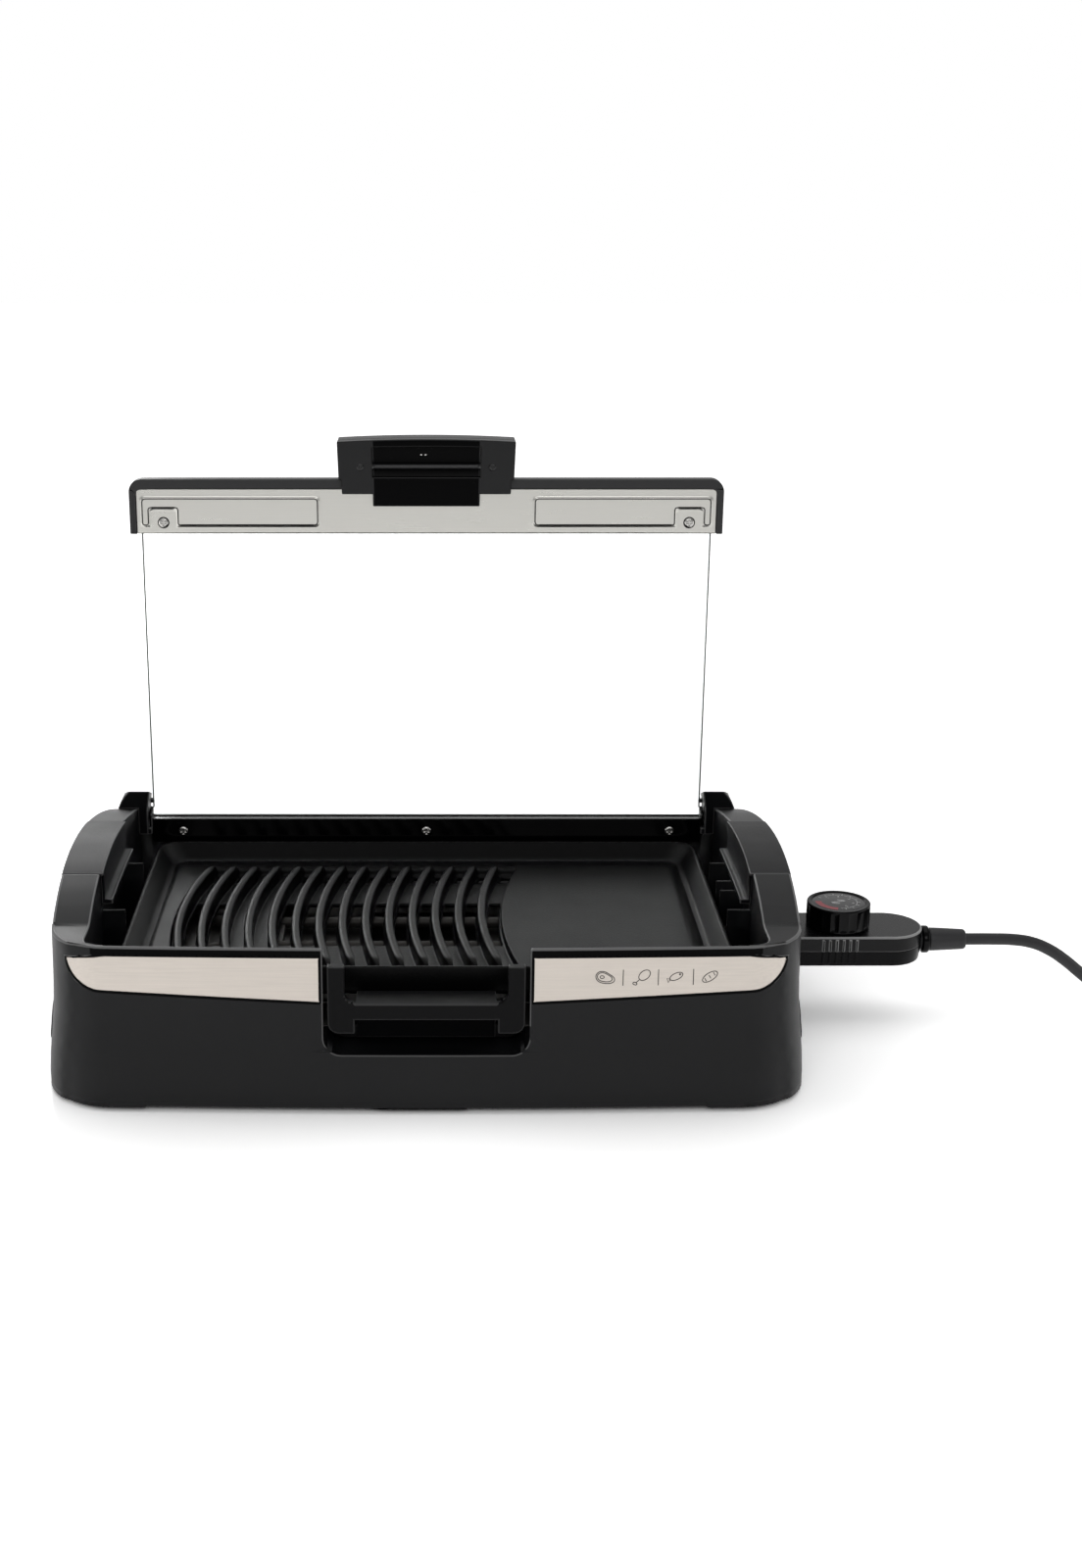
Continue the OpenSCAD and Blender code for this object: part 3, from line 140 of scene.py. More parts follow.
def makeNode(tree, kind, inputs=(), **settings):
    # a shader node; each input takes a number, a colour or another node's socket
    node = tree.nodes.new("ShaderNode" + kind)
    for key, value in settings.items():
        setattr(node, key, value)
    for key, value in dict(inputs).items():
        if isinstance(value, bpy.types.NodeSocket):
            tree.links.new(value, node.inputs[key])
        else:
            node.inputs[key].default_value = value
    return node


pattern = {
    "cloud": 34, "grainShare": 0.6, "cloudShare": 0.4,
    "rub": (0.02, 0.05),  # the painted edge highlight fades in between these heights, in m
    "span": (0.3, 0.7), "gloss": (0.86, 1.14), "bump": 0.6,
}


def makeFinish(name, f, edge=0.0):
    # the moulded grain, or the lines of the brush, and slow changes over a hand's width
    made = bpy.data.materials.new(name)
    made.use_nodes = True
    tree = made.node_tree
    shader = tree.nodes["Principled BSDF"]
    shader.inputs["Metallic"].default_value = f.get("metal", 0.0)
    shader.inputs["Specular IOR Level"].default_value = f.get("specular", 0.5)
    where = makeNode(tree, "TexCoord").outputs["Object"]
    spread = makeNode(tree, "Mapping", {"Vector": where, "Scale": f.get("stretch", (1, 1, 1))})
    grain = makeNode(tree, "TexNoise", {"Vector": spread.outputs["Vector"], "Scale": f["grain"],
                                        "Detail": 3}).outputs["Fac"]
    cloud = makeNode(tree, "TexNoise", {"Vector": where, "Scale": pattern["cloud"], "Detail": 4})
    part = makeNode(tree, "Math", {0: cloud.outputs["Fac"], 1: pattern["cloudShare"]},
                    operation="MULTIPLY").outputs["Value"]
    both = makeNode(tree, "Math", {0: grain, 1: pattern["grainShare"], 2: part},
                    operation="MULTIPLY_ADD").outputs["Value"]
    vary = f.get("vary", 0.18)
    dark = [c * (1 - vary) for c in f["color"]] + [1]
    pale = [c * (1 + vary) for c in f["color"]] + [1]
    tint = makeNode(tree, "Mix", data_type="RGBA")
    tint.inputs["A"].default_value, tint.inputs["B"].default_value = dark, pale
    tree.links.new(both, tint.inputs["Factor"])
    if edge:  # painted highlight on rounded edges, none below 2 cm and full from 5 cm above the table
        height = makeNode(tree, "SeparateXYZ", {"Vector": where}).outputs["Z"]
        low, high = pattern["rub"]
        paler = makeNode(tree, "MapRange", {"Value": height, "From Min": low, "From Max": high})
        rub = makeNode(tree, "Mix", data_type="RGBA")
        rub.inputs["B"].default_value = [min(1, c + edge) for c in f["color"]] + [1]
        tree.links.new(paler.outputs["Result"], rub.inputs["Factor"])
        tree.links.new(tint.outputs["Result"], rub.inputs["A"])
        tint = rub
    (start, end), (least, most) = pattern["span"], pattern["gloss"]
    gloss = makeNode(tree, "MapRange", {"Value": both, "From Min": start, "From Max": end,
                                        "To Min": f["rough"] * least, "To Max": f["rough"] * most})
    bump = makeNode(tree, "Bump", {"Height": grain, "Strength": pattern["bump"],
                                   "Distance": f["depth"] * mm})
    tree.links.new(tint.outputs["Result"], shader.inputs["Base Color"])
    tree.links.new(gloss.outputs["Result"], shader.inputs["Roughness"])
    tree.links.new(bump.outputs["Normal"], shader.inputs["Normal"])
    return made


def makeGlass():
    made = makeFinish("clearGlass", {"color": (0.97, 0.985, 0.98), "rough": 0.012, "grain": 60,
                                     "depth": 0.002, "vary": 0.01})
    shader = made.node_tree.nodes["Principled BSDF"]
    shader.inputs["Transmission Weight"].default_value = 1.0
    shader.inputs["IOR"].default_value = 1.33
    return made


materials = {name: makeFinish(name, f) for name, f in finishes.items()}
for name, f in finishes.items():
    if "edge" in f:
        materials[name + "Edge"] = makeFinish(name + "Edge", f, f["edge"])
materials["clearGlass"] = makeGlass()

# each CAD node's finish here and its slot in the record
nodeFinish = {}
for finish, slotName, names in (
        ("bodyPlastic", "body_plastic", "housing side_panel_left side_panel_right"),
        ("coverPlastic", "cover_plastic", "bottom_cover"),
        ("screwSteel", "screw_steel", "bottom_screws well_screws strip_screws handle_screws "
                                      "rail_screws tray_screws case_screws"),
        ("footRubber", "foot_rubber", "rubber_feet"),
        ("trimSteel", "trim_steel", "trim_plate_left trim_plate_right"),
        ("gripPlastic", "grip_plastic", "grip_left grip_right"),
        ("postPlastic", "post_plastic", "hinge_post_left hinge_post_right"),
        ("sheetSteel", "sheet_steel", "tray_guide reflector_pan element_supports "
                                      "terminal_bracket probe_sleeve"),
        ("elementTube", "element_tube", "heating_element"),
        ("ceramic", "ceramic", "terminal_insulators thermostat"),
        ("pinSteel", "pin_steel", "terminal_pins hinge_pins probe_rod plug_pins control_shaft"),
        ("plateCoating", "plate_coating", "grill_plate"),
        ("clearGlass", "glass", "lid_glass"),
        ("framePlastic", "frame_plastic", "lid_frame"),
        ("stripSteel", "sheet_steel", "inner_strip"),
        ("handlePlastic", "handle_plastic", "handle_shell"),
        ("insertPlastic", "handle_plastic", "handle_insert"),
        ("rodPlastic", "rod_plastic", "handle_rod"),
        ("railPlastic", "rail_plastic", "hinge_rail"),
        ("trayCoating", "tray_coating", "drip_tray"),
        ("trayPlastic", "tray_plastic", "tray_handle"),
        ("casePlastic", "case_plastic", "case_top"),
        ("caseDark", "case_plastic", "case_bottom"),
        ("noseBakelite", "nose_bakelite", "plug_nose"),
        ("contactBrass", "contact_brass", "contact_sleeves"),
        ("cordRubber", "relief_rubber", "strain_relief plug_body"),
        ("cordRubber", "cord_rubber", "cord_lead cord_coil cord_tail"),
        ("bodyPlastic", "tie_plastic", "cord_tie"),
        ("knobPlastic", "knob_plastic", "knob"),
        ("dialPrint", "dial_print", "knob_dial")):
    nodeFinish.update({name: (finish, slotName) for name in names.split()})
for name, (finish, slotName) in nodeFinish.items():
    cadNode = nodes[name]
    if not cadNode.material_slots:
        cadNode.data.materials.append(materials[finish])
    for place in cadNode.material_slots:
        place.material = materials[finish]
print("finishes made:", len(materials))


# tools that make and finish a piece

def dress(obj, body, finish, stands=()):
    if finish:
        obj.data.materials.clear()
        obj.data.materials.append(materials[finish])
    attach(obj, body)
    if stands:
        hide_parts(*stands)
    return obj


def surface(name, points, wrapU=False, wrapV=False, keep=None, caps=()):
    # a mesh from a grid of points: quad (i, j) joins its four neighbours, caps lists rows to close
    nu, nv = points.shape[:2]
    i, j = np.meshgrid(np.arange(nu if wrapU else nu - 1), np.arange(nv if wrapV else nv - 1),
                       indexing="ij")
    i2, j2 = (i + 1) % nu, (j + 1) % nv
    quads = np.stack([i * nv + j, i2 * nv + j, i2 * nv + j2, i * nv + j2], -1).reshape(-1, 4)
    if keep is not None:
        quads = quads[keep.reshape(-1)]
    faces = quads.tolist() + [(np.arange(nv) + row % nu * nv).tolist() for row in caps]
    mesh = bpy.data.meshes.new(name)
    mesh.from_pydata((points * mm).reshape(-1, 3), [], faces)
    bm = bmesh.new()
    bm.from_mesh(mesh)
    bmesh.ops.remove_doubles(bm, verts=bm.verts, dist=1e-6)
    loose = [v for v in bm.verts if not v.link_faces]
    bmesh.ops.delete(bm, geom=loose, context="VERTS")
    bmesh.ops.recalc_face_normals(bm, faces=bm.faces)
    bm.to_mesh(mesh)
    bm.free()
    mesh.shade_smooth()
    return put(name, mesh)


def read(items, key, size=3, kind=float):
    # one property of all the vertices, edges, faces or loops, in rows of size numbers
    values = np.zeros(len(items) * size, kind)
    items.foreach_get(key, values)
    return values.reshape(-1, size)


def edgeAngles(mesh):
    # the angle between the two faces on each edge: 0 without two faces, below 0 in a hollow edge
    normals, middles = read(mesh.polygons, "normal"), read(mesh.polygons, "center")
    totals = read(mesh.polygons, "loop_total", 1, int)[:, 0]
    loopEdge = read(mesh.loops, "edge_index", 1, int)[:, 0]
    loopFace = np.repeat(np.arange(len(totals)), totals)
    order = np.argsort(loopEdge, kind="stable")
    counts = np.bincount(loopEdge, minlength=len(mesh.edges))
    starts = np.concatenate([[0], np.cumsum(counts)[:-1]])
    two = counts == 2
    first = loopFace[order[starts[two]]]
    second = loopFace[order[starts[two] + 1]]
    angles = np.zeros(len(mesh.edges))
    out = np.sign((normals[first] * (middles[first] - middles[second])).sum(1))
    angles[two] = out * np.arccos(np.clip((normals[first] * normals[second]).sum(1), -1, 1))
    return angles


flattest = math.radians(28)  # an edge flatter than this, or hollow, isn't rounded


def rounded(node, body, bevel, big=None, shape=None, cuts=(), segments=3):
    # a copy of a CAD node: doubles merged, flat faces joined, cut at planes (axis, mm), bent by
    # shape, and its edges rounded by bevel mm, or by big(middles, bevel) mm
    bm = bmesh.new()
    bm.from_mesh(nodes[node].data)
    bmesh.ops.remove_doubles(bm, verts=bm.verts, dist=3e-6)
    bmesh.ops.dissolve_limit(bm, angle_limit=math.radians(0.2), verts=bm.verts, edges=bm.edges)
    for axis, value in cuts:
        normal, at = [0, 0, 0], [0, 0, 0]
        normal[axis], at[axis] = 1, value * mm
        bmesh.ops.bisect_plane(bm, geom=bm.verts[:] + bm.edges[:] + bm.faces[:], dist=1e-6,
                               plane_co=at, plane_no=normal)
    mesh = bpy.data.meshes.new(node + "_looks")
    bm.to_mesh(mesh)
    bm.free()
    co = read(mesh.vertices, "co") / mm
    if shape:
        co = shape(co)
        mesh.vertices.foreach_set("co", (co * mm).reshape(-1))
        mesh.update()
    middles = co[read(mesh.edges, "vertices", 2, int)].mean(1)
    widths = np.full(len(mesh.edges), float(bevel)) if big is None else big(middles, bevel)
    widths[edgeAngles(mesh) < flattest] = 0
    widest = max(widths.max(), 0.01)
    mesh.attributes.new("bevel_weight_edge", "FLOAT", "EDGE").data.foreach_set(
        "value", widths / widest)
    mesh.shade_smooth()
    obj = put(node + "_looks", mesh)
    round_ = obj.modifiers.new("roundEdges", "BEVEL")
    round_.limit_method = "WEIGHT"
    round_.width = widest * mm
    round_.segments = segments
    round_.use_clamp_overlap = False
    even = obj.modifiers.new("evenNormals", "WEIGHTED_NORMAL")
    even.weight = 60
    even.keep_sharp = False
    finish, slotName = nodeFinish[node]
    dress(obj, body, finish, [node])
    # the rounded edges take the finish's paler copy, a painted highlight
    if finish + "Edge" in materials:
        obj.data.materials.append(materials[finish + "Edge"])
        round_.material = 1
    return obj


def thicken(obj, thick, offset):
    sheet = obj.modifiers.new("thickness", "SOLIDIFY")
    sheet.thickness = thick * mm
    sheet.offset = offset


def lathe(name, profile, axis, centre, steps=64, ripple=None):
    # a profile of (radius, along) turned round an axis: a point is
    # centre + along * axis + radius * (cos, sin) of the angle
    profile = np.asarray(profile, float)
    turn = np.linspace(0, 2 * np.pi, steps, endpoint=False)
    radius = profile[:, 0][:, None] * np.ones(steps)
    if ripple is not None:
        radius = ripple(radius, profile[:, 1][:, None], turn[None, :])
    along = profile[:, 1][:, None] * np.ones(steps)
    c, s = radius * np.cos(turn), radius * np.sin(turn)
    parts = {"x": (along, c, s), "y": (s, along, c), "z": (c, s, along)}[axis]
    return surface(name, np.stack(parts, -1) + np.asarray(centre, float), wrapV=True)


def ease(v):
    v = np.clip(v, 0, 1)
    return v * v * (3 - 2 * v)


def boxDistance(x, z, mid, half, r):
    # distance to a rectangle with round corners, negative inside it
    qx = np.abs(x - mid[0]) - half[0] + r
    qz = np.abs(z - mid[1]) - half[1] + r
    return np.hypot(np.maximum(qx, 0), np.maximum(qz, 0)) + np.minimum(np.maximum(qx, qz), 0) - r


# the cord: out of the strain relief, down to the table and into its coil

cord = {
    "radius": 4.0,
    "lead": [(366, 0, 52.5), (384, 0, 52.5), (400, 0, 52), (412, 0, 50), (424, 0, 45),
             (436, 0, 37), (448, 0, 27), (460, 0, 17.5), (472, 0, 10), (484, 0, 5.5),
             (498, 0, 4.7), (515, 0, 4.7)],
    "coilX": 540, "coilR": 53, "turns": 4.25, "pitch": 8.6, "layer": 8.6, "low": 4.7,
}


def coilPoints(c):
    # a flat spiral in and out again that climbs one layer in the half turn at its middle
    t = np.arange(int(c["turns"] * 24) + 1) / 24
    half = c["turns"] / 2
    radius = c["coilR"] - c["pitch"] * (half - np.abs(t - half))
    z = c["low"] + c["layer"] * ease((t - half) * 2 + 0.5)
    a = 2 * np.pi * t
    return np.stack([c["coilX"] + radius * np.sin(a), c["coilR"] - radius * np.cos(a), z], -1)


def makeCord(c):
    coil = coilPoints(c)
    end = coil[-1]
    rise = np.array([(0, 8, 0), (0, 18, 0.6), (0, 28, 3), (0, 38, 5.3), (0, 48, 19.2 - end[2])])
    points = np.concatenate([c["lead"], [(532, 0, 4.7)], coil, end + rise])
    curve = bpy.data.curves.new("powerCord", "CURVE")
    curve.dimensions = "3D"
    curve.bevel_depth = c["radius"] * mm
    curve.bevel_resolution = 5
    curve.use_fill_caps = True
    curve.resolution_u = 4
    line = curve.splines.new("BEZIER")
    line.bezier_points.add(len(points) - 1)
    line.bezier_points.foreach_set("co", (points * mm).reshape(-1))
    for p in line.bezier_points:
        p.handle_left_type = p.handle_right_type = "AUTO"
    obj = put("powerCord", curve)
    curve.materials.append(materials["cordRubber"])
    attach(obj, "controller")
    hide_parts("cord_lead", "cord_coil", "cord_tail")
    length = np.linalg.norm(np.diff(points, axis=0), axis=1).sum() * mm
    return obj, end + rise[-1], round(float(length), 2)


powerCord, plugPlace, cordLength = makeCord(cord)

plug = {"profile": [(0, 0), (5.2, 0), (5.6, 0.6), (6.2, 8), (5.9, 9), (6.6, 10), (7.3, 18),
                    (8.2, 20), (11.5, 22.4), (12.6, 24), (15, 34), (17.4, 37.2), (18.7, 39),
                    (19, 41), (19, 52.4), (18.4, 53.6), (17.4, 54), (0, 54)]}


def plugGrip(radius, along, turn):
    # flats for two fingers: the body is pressed in along two sides behind the face
    press = ease((along - 18) / 6) * ease((40 - along) / 5)
    return radius * (1 - 0.16 * press * np.abs(np.cos(turn)) ** 4)


plugBody = lathe("plugBody", plug["profile"], "y", plugPlace, 72, plugGrip)
dress(plugBody, "controller", "cordRubber", ["plug_body"])
print("cord", cordLength, "m")


# the housing, bent as the photograph shows, with its edges rounded

bow = {
    "side": 2.2, "sideFall": 4.5, "sideHalf": 111,
    "front": 2.0, "frontFall": 4.0, "frontHalf": 196,
    # where a wall starts to move, over how many mm, and the share that a side's two faces take
    "inner": (197, 9, 0.65), "outer": (212, 14, 0.35), "ahead": (141, 5), "behind": (145.5, 8),
}
bowCuts = [(0, v) for v in (-196, -172, -147, -122, -98, -74, -49, -24, 0, 24, 49, 74, 98, 122, 147,
                            172, 196)] + [(1, v) for v in (-111, -92, -74, -55, -37, -18, 0, 18,
                                                           37, 55, 74, 92, 111)]


def bowWalls(co):
    # the side walls move out by side - fall * (y / half)^2 and the front and rear likewise,
    # but behind, where the lid's rail turns, the inner faces don't move in
    x, y = np.abs(co[:, 0]), np.abs(co[:, 1])
    (x0, over0, share0), (x1, over1, share1) = bow["inner"], bow["outer"]
    out = bow["side"] - bow["sideFall"] * (np.minimum(y, bow["sideHalf"]) / bow["sideHalf"]) ** 2
    out = np.where((co[:, 1] > 0) & (x < x1), np.maximum(out, 0), out)
    share = share0 * np.clip((x - x0) / over0, 0, 1) + share1 * np.clip((x - x1) / over1, 0, 1)
    fore = bow["front"] - bow["frontFall"] * (np.minimum(x, bow["frontHalf"])
                                              / bow["frontHalf"]) ** 2
    bent = co.copy()
    bent[:, 0] += np.sign(co[:, 0]) * out * share
    (y0, over0), (y1, over1) = bow["ahead"], bow["behind"]
    near = np.where(co[:, 1] > 0, (y - y1) / over1, (y - y0) / over0)
    bent[:, 1] += np.sign(co[:, 1]) * fore * np.clip(near, 0, 1)
    return bent


housing = {
    "outside": (222, 148), "foot": ((240.5, 156.5), 45.5), "footZ": 3.4, "archZ": 94, "wellZ": 60,
    "locator": (60, 93), "footEdge": 2.6, "archEdge": 1.6, "wellEdge": 1.0,
}


def housingEdges(middle, usual):
    # the foot's outer edge is rounded most, then the lip's and the arms' upper edges; the edges
    # deep in the well and those of its locators stay sharp
    h = housing
    x, y, z = np.abs(middle[:, 0]), np.abs(middle[:, 1]), middle[:, 2]
    width = np.full(len(middle), float(usual))
    outside = (x > h["outside"][0]) | (y > h["outside"][1])
    rim = boxDistance(x, y, (0, 0), *h["foot"]) > -1.2
    locatorY, locatorZ = h["locator"]
    width[z < h["footZ"]] = 0
    width[(z < h["footZ"]) & rim] = h["footEdge"]
    width[(z > h["archZ"]) & outside] = h["archEdge"]
    width[(z > h["wellZ"]) & ~outside] = h["wellEdge"]
    width[((z < h["wellZ"]) | ((z < locatorZ) & (y < locatorY))) & ~outside] = 0
    return width


rounded("housing", "base", 0.7, housingEdges, bowWalls, bowCuts)
for side in ("left", "right"):
    rounded("trim_plate_" + side, "base", 0.35, None, bowWalls, bowCuts, 2)
    rounded("grip_" + side, "base", 0.7, None, bowWalls, bowCuts)
    rounded("side_panel_" + side, "base", 0.6, None, bowWalls, bowCuts)
    rounded("hinge_post_" + side, "base", 0.9)
rounded("bottom_cover", "base", 0.8, None, bowWalls, bowCuts, 2)
rounded("rubber_feet", "base", 0.7)
print("housing, trims, grips and posts")


# the grill plate: a basin of rings round a floor with ribs and slots

plate = {
    "x": 195, "y": 119, "rim": 81.6, "griddle": 70.6, "channel": 65.6, "ribTop": 76.0,
    "skirt": 66.6, "corner": 13.0,
    "ribs": 14, "firstRib": 37.05, "pitch": 15.55, "ribHalf": 3.0, "curve": 372, "curveMid": -11,
    "front": -97, "rear": 88, "slotHalf": 3.775, "slots": ((-45, 33), (74, 86)),
    "solid": (2, 3),
}


def basin(p):
    # each ring is a rectangle with round corners, set in by a distance at a height
    r1, r2 = 1.3, 5.5
    up = np.radians(np.linspace(180, 90, 6))
    lip = np.stack([r1 + r1 * np.cos(up), p["rim"] - r1 + r1 * np.sin(up)], 1)
    over = np.radians(np.linspace(90, 36, 5))
    inner = np.stack([3.2 - r1 + r1 * np.cos(over), p["rim"] - r1 + r1 * np.sin(over)], 1)
    down = np.radians(np.linspace(216, 270, 9))
    foot = np.stack([14.4 + r2 * np.cos(down), p["griddle"] - 0.12 + r2 + r2 * np.sin(down)], 1)
    profile = np.concatenate([[(1.2, p["skirt"] - 3.4), (0.2, p["skirt"] - 3.0), (0, p["skirt"])],
                              lip, inner, foot, [(15.6, p["griddle"] - 0.14)]])
    inset, z = profile[:, 0], profile[:, 1]
    radius = p["corner"] + 1.5 * np.clip(inset / 11, 0, 1) - 4 * np.clip((inset - 11) / 5, 0, 1)
    turn = np.radians(np.concatenate([np.linspace(q, q + 90, 13) for q in (0, 90, 180, 270)]))
    sx = np.repeat([1, -1, -1, 1], 13)
    sy = np.repeat([1, 1, -1, -1], 13)
    x = sx * (p["x"] - inset - radius)[:, None] + radius[:, None] * np.cos(turn)
    y = sy * (p["y"] - inset - radius)[:, None] + radius[:, None] * np.sin(turn)
    return surface("plateBasin", np.stack([x, y, z[:, None] * np.ones(52)], -1), wrapV=True)


def plateFloor(p):
    # across: lines at rest on a rib's section or a channel; along: lines from front to rear
    half, gap = p["ribHalf"], p["slotHalf"]
    top, low = p["ribTop"], p["channel"]
    section = np.array([(-1.0, low), (-0.985, low + 0.5), (-0.97, top - 2.0), (-0.9, top - 1.1),
                        (-0.74, top - 0.5), (-0.45, top - 0.13), (0, top)])
    section = np.concatenate([section, section[-2::-1] * (-1, 1)])
    ribX = p["firstRib"] - p["pitch"] * np.arange(p["ribs"])[::-1]
    left, right = ribX[0] - half - 1.5, ribX[-1] + p["pitch"] - 2
    mids, offs, heights, kinds = [], [], [], []

    def line(mid, off, z, kind):
        mids.append(mid)
        offs.append(off)
        heights.append(z)
        kinds.append(kind)

    for x in (-181, -178, -175, -172.5, left - 1.2, left - 0.5):
        line(x, 0, p["griddle"], 0)
    line(left - 0.1, 0, p["griddle"] - 0.25, 1)
    line(left + 0.15, 0, low + 0.4, 1)
    line(left + 0.6, 0, low, 1)
    for x in ribX:
        for u, z in section:
            line(x, u * half, z, 2)
        mid = x + p["pitch"] / 2
        line(mid - gap, 0, low, 3)
        line(mid, 0, low, 3)
        line(mid + gap, 0, low, 1)
    line(right - 0.6, 0, low, 1)
    line(right - 0.15, 0, low + 0.4, 1)
    line(right + 0.1, 0, p["griddle"] - 0.25, 1)
    for x in (right + 0.5, right + 1.2, 56, 62, 70, 80, 90, 100, 115, 130, 145, 160, 172, 181):
        line(x, 0, p["griddle"], 0)
    mids, offs = np.array(mids), np.array(offs)
    heights, kinds = np.array(heights), np.array(kinds)
    front, rear = p["front"], p["rear"]
    marks = [-105, front - 3, front - 1.2, front - 0.5, front - 0.1, front + 0.15, front + 0.6,
             rear - 0.6, rear - 0.15, rear + 0.1, rear + 0.5, rear + 1.2, rear + 6, 105]
    marks += [v for span in p["slots"] for v in span]
    marks += list(np.linspace(front + 2, front + 12, 7)) + list(np.linspace(rear - 12, rear - 2, 7))
    y = np.unique(np.concatenate([marks, np.linspace(front + 14, rear - 14, 44)]))
    curve = p["curve"] - np.sqrt(p["curve"] ** 2 - (y - p["curveMid"]) ** 2)
    bend = ease((mids + 181) / (left + 181)) * ease((125 - mids) / (125 - right))
    near = np.minimum(y - front, rear - y)
    taper = 1 - 0.5 * (1 - ease(near / 13))
    x = mids[:, None] + offs[:, None] * taper[None, :] + bend[:, None] * curve[None, :]
    # a rib's top falls towards its ends, and all stands at the griddle's level outside the recess
    inside = ease((near + 0.3) / 0.9)[None, :]
    crest = np.clip(near / 9, 0, 1)
    crest = np.sqrt(1 - (1 - crest) ** 2)[None, :]
    ribZ = low + (heights[:, None] - low) * np.where(kinds[:, None] == 2, 0.42 + 0.58 * crest, 1)
    z = np.where(kinds[:, None] == 0, p["griddle"], p["griddle"] + (ribZ - p["griddle"]) * inside)
    yy = y[None, :] * np.ones(len(mids))[:, None]
    keep = np.ones((len(mids) - 1, len(y) - 1), bool)
    slotRows = np.zeros(len(y) - 1, bool)
    for a, b in p["slots"]:
        slotRows |= (y[:-1] >= a - 1e-6) & (y[1:] <= b + 1e-6)
    inSlot = kinds[:-1] == 3
    channel = np.searchsorted(ribX, mids[:-1]) - 1
    solid = np.isin(channel, p["solid"])
    keep[(inSlot & ~solid)[:, None] & slotRows[None, :]] = False
    return surface("plateFloor", np.stack([x, yy, z], -1), keep=keep)


for sheet in (basin(plate), plateFloor(plate)):
    thicken(dress(sheet, "base", "plateCoating", ["grill_plate"]), 2.8, -1)
print("grill plate")


# the lid: strip with its pressed pockets, screws, frame, handle and rail

strip = {
    "x": 203.2, "low": 306.7, "top": 338.2, "front": 128.8, "sheet": 0.7,
    "pocket": (75, 200.2, 311.9, 332.8), "pocketR": 3.0, "raise": 0.85, "slope": 1.3,
    # the last two: widths in mm of the painted shade lines round each pocket, the wider along its
    # foot and the tab's top
    "tab": (184.4, 9.25, 324.2), "line": 0.9, "lowLine": 1.2,
}


def makeStrip(c):
    # a flat sheet, raised by a smooth slope inside each pocket's outline and bent back at its foot
    x = np.linspace(-c["x"], c["x"], 560)[:, None]
    z = np.linspace(c["low"], c["top"], 46)[None, :]
    x0, x1, z0, z1 = c["pocket"]
    ax = np.abs(x)
    field = boxDistance(ax, z, ((x0 + x1) / 2, (z0 + z1) / 2), ((x1 - x0) / 2, (z1 - z0) / 2),
                        c["pocketR"])
    tabX, tabHalf, tabTop = c["tab"]
    tab = boxDistance(ax, z, (tabX, (z0 - 12 + tabTop) / 2), (tabHalf, (tabTop - z0 + 12) / 2), 2.5)
    field = np.maximum(field, -tab)
    lift = c["raise"] * ease(-field / c["slope"] + 0.3)
    hem = 0.8 * ease((c["low"] + 1.2 - z) / 1.2) ** 2
    y = c["front"] - lift + hem
    return surface("innerStripLooks", np.stack([x + 0 * z, y, z + 0 * x], -1))


thicken(dress(makeStrip(strip), "lid", "stripSteel", ["inner_strip"]),
        strip["sheet"], 1)


def screwHead(name, x, z, y0, radius, height, cross, body, finish):
    # a pan head seen from the front: height falls off as 1 - r^4, less a cross with sloping sides
    r = np.linspace(0, 1, 22)[:, None]
    turn = np.linspace(0, 2 * np.pi, 64, endpoint=False)[None, :]
    px, pz = r * np.cos(turn), r * np.sin(turn)
    dome = height * np.sqrt(np.clip(1 - 0.9 * r ** 4, 0, 1))
    arm = np.minimum(np.maximum(np.abs(px) - 0.17, np.abs(pz) - 0.62),
                     np.maximum(np.abs(pz) - 0.17, np.abs(px) - 0.62))
    depth = cross * ease(-arm / 0.10 + 0.4)
    top = np.stack([x + radius * px, y0 - dome + depth, z + radius * pz], -1)
    side = np.stack([x + radius * np.cos(turn[0]), np.full(64, y0), z + radius * np.sin(turn[0])],
                    -1)
    obj = surface(name, np.concatenate([top, side[None]]), wrapV=True, caps=[-1])
    return dress(obj, body, finish)


def join(parts, name, body, finish, stands=()):
    # several meshes made one, each already in its place
    bm = bmesh.new()
    for part in parts:
        bm.from_mesh(part.data)
        bpy.data.objects.remove(part)
    mesh = bpy.data.meshes.new(name)
    bm.to_mesh(mesh)
    bm.free()
    mesh.shade_smooth()
    return dress(put(name, mesh), body, finish, stands)


def ribbon(name, points, width, place, closed=False):
    # a flat stroke of even width along points (x, z); place lays x and z on the surface
    p = np.asarray(points, float)
    if closed:
        p = np.concatenate([p, p[:1]])
    way = np.gradient(p, axis=0)
    if closed:
        way[0] = way[-1] = p[1] - p[-2]
    way /= np.linalg.norm(way, axis=1)[:, None] + 1e-9
    side = np.stack([-way[:, 1], way[:, 0]], 1) * width / 2
    both = np.stack([p + side, p - side], 1)
    return surface(name, place(both[..., 0], both[..., 1]))


def onPocket(x, z):
    return np.stack([x, np.full(x.shape, strip["front"] - strip["raise"] - 0.03), z], -1)


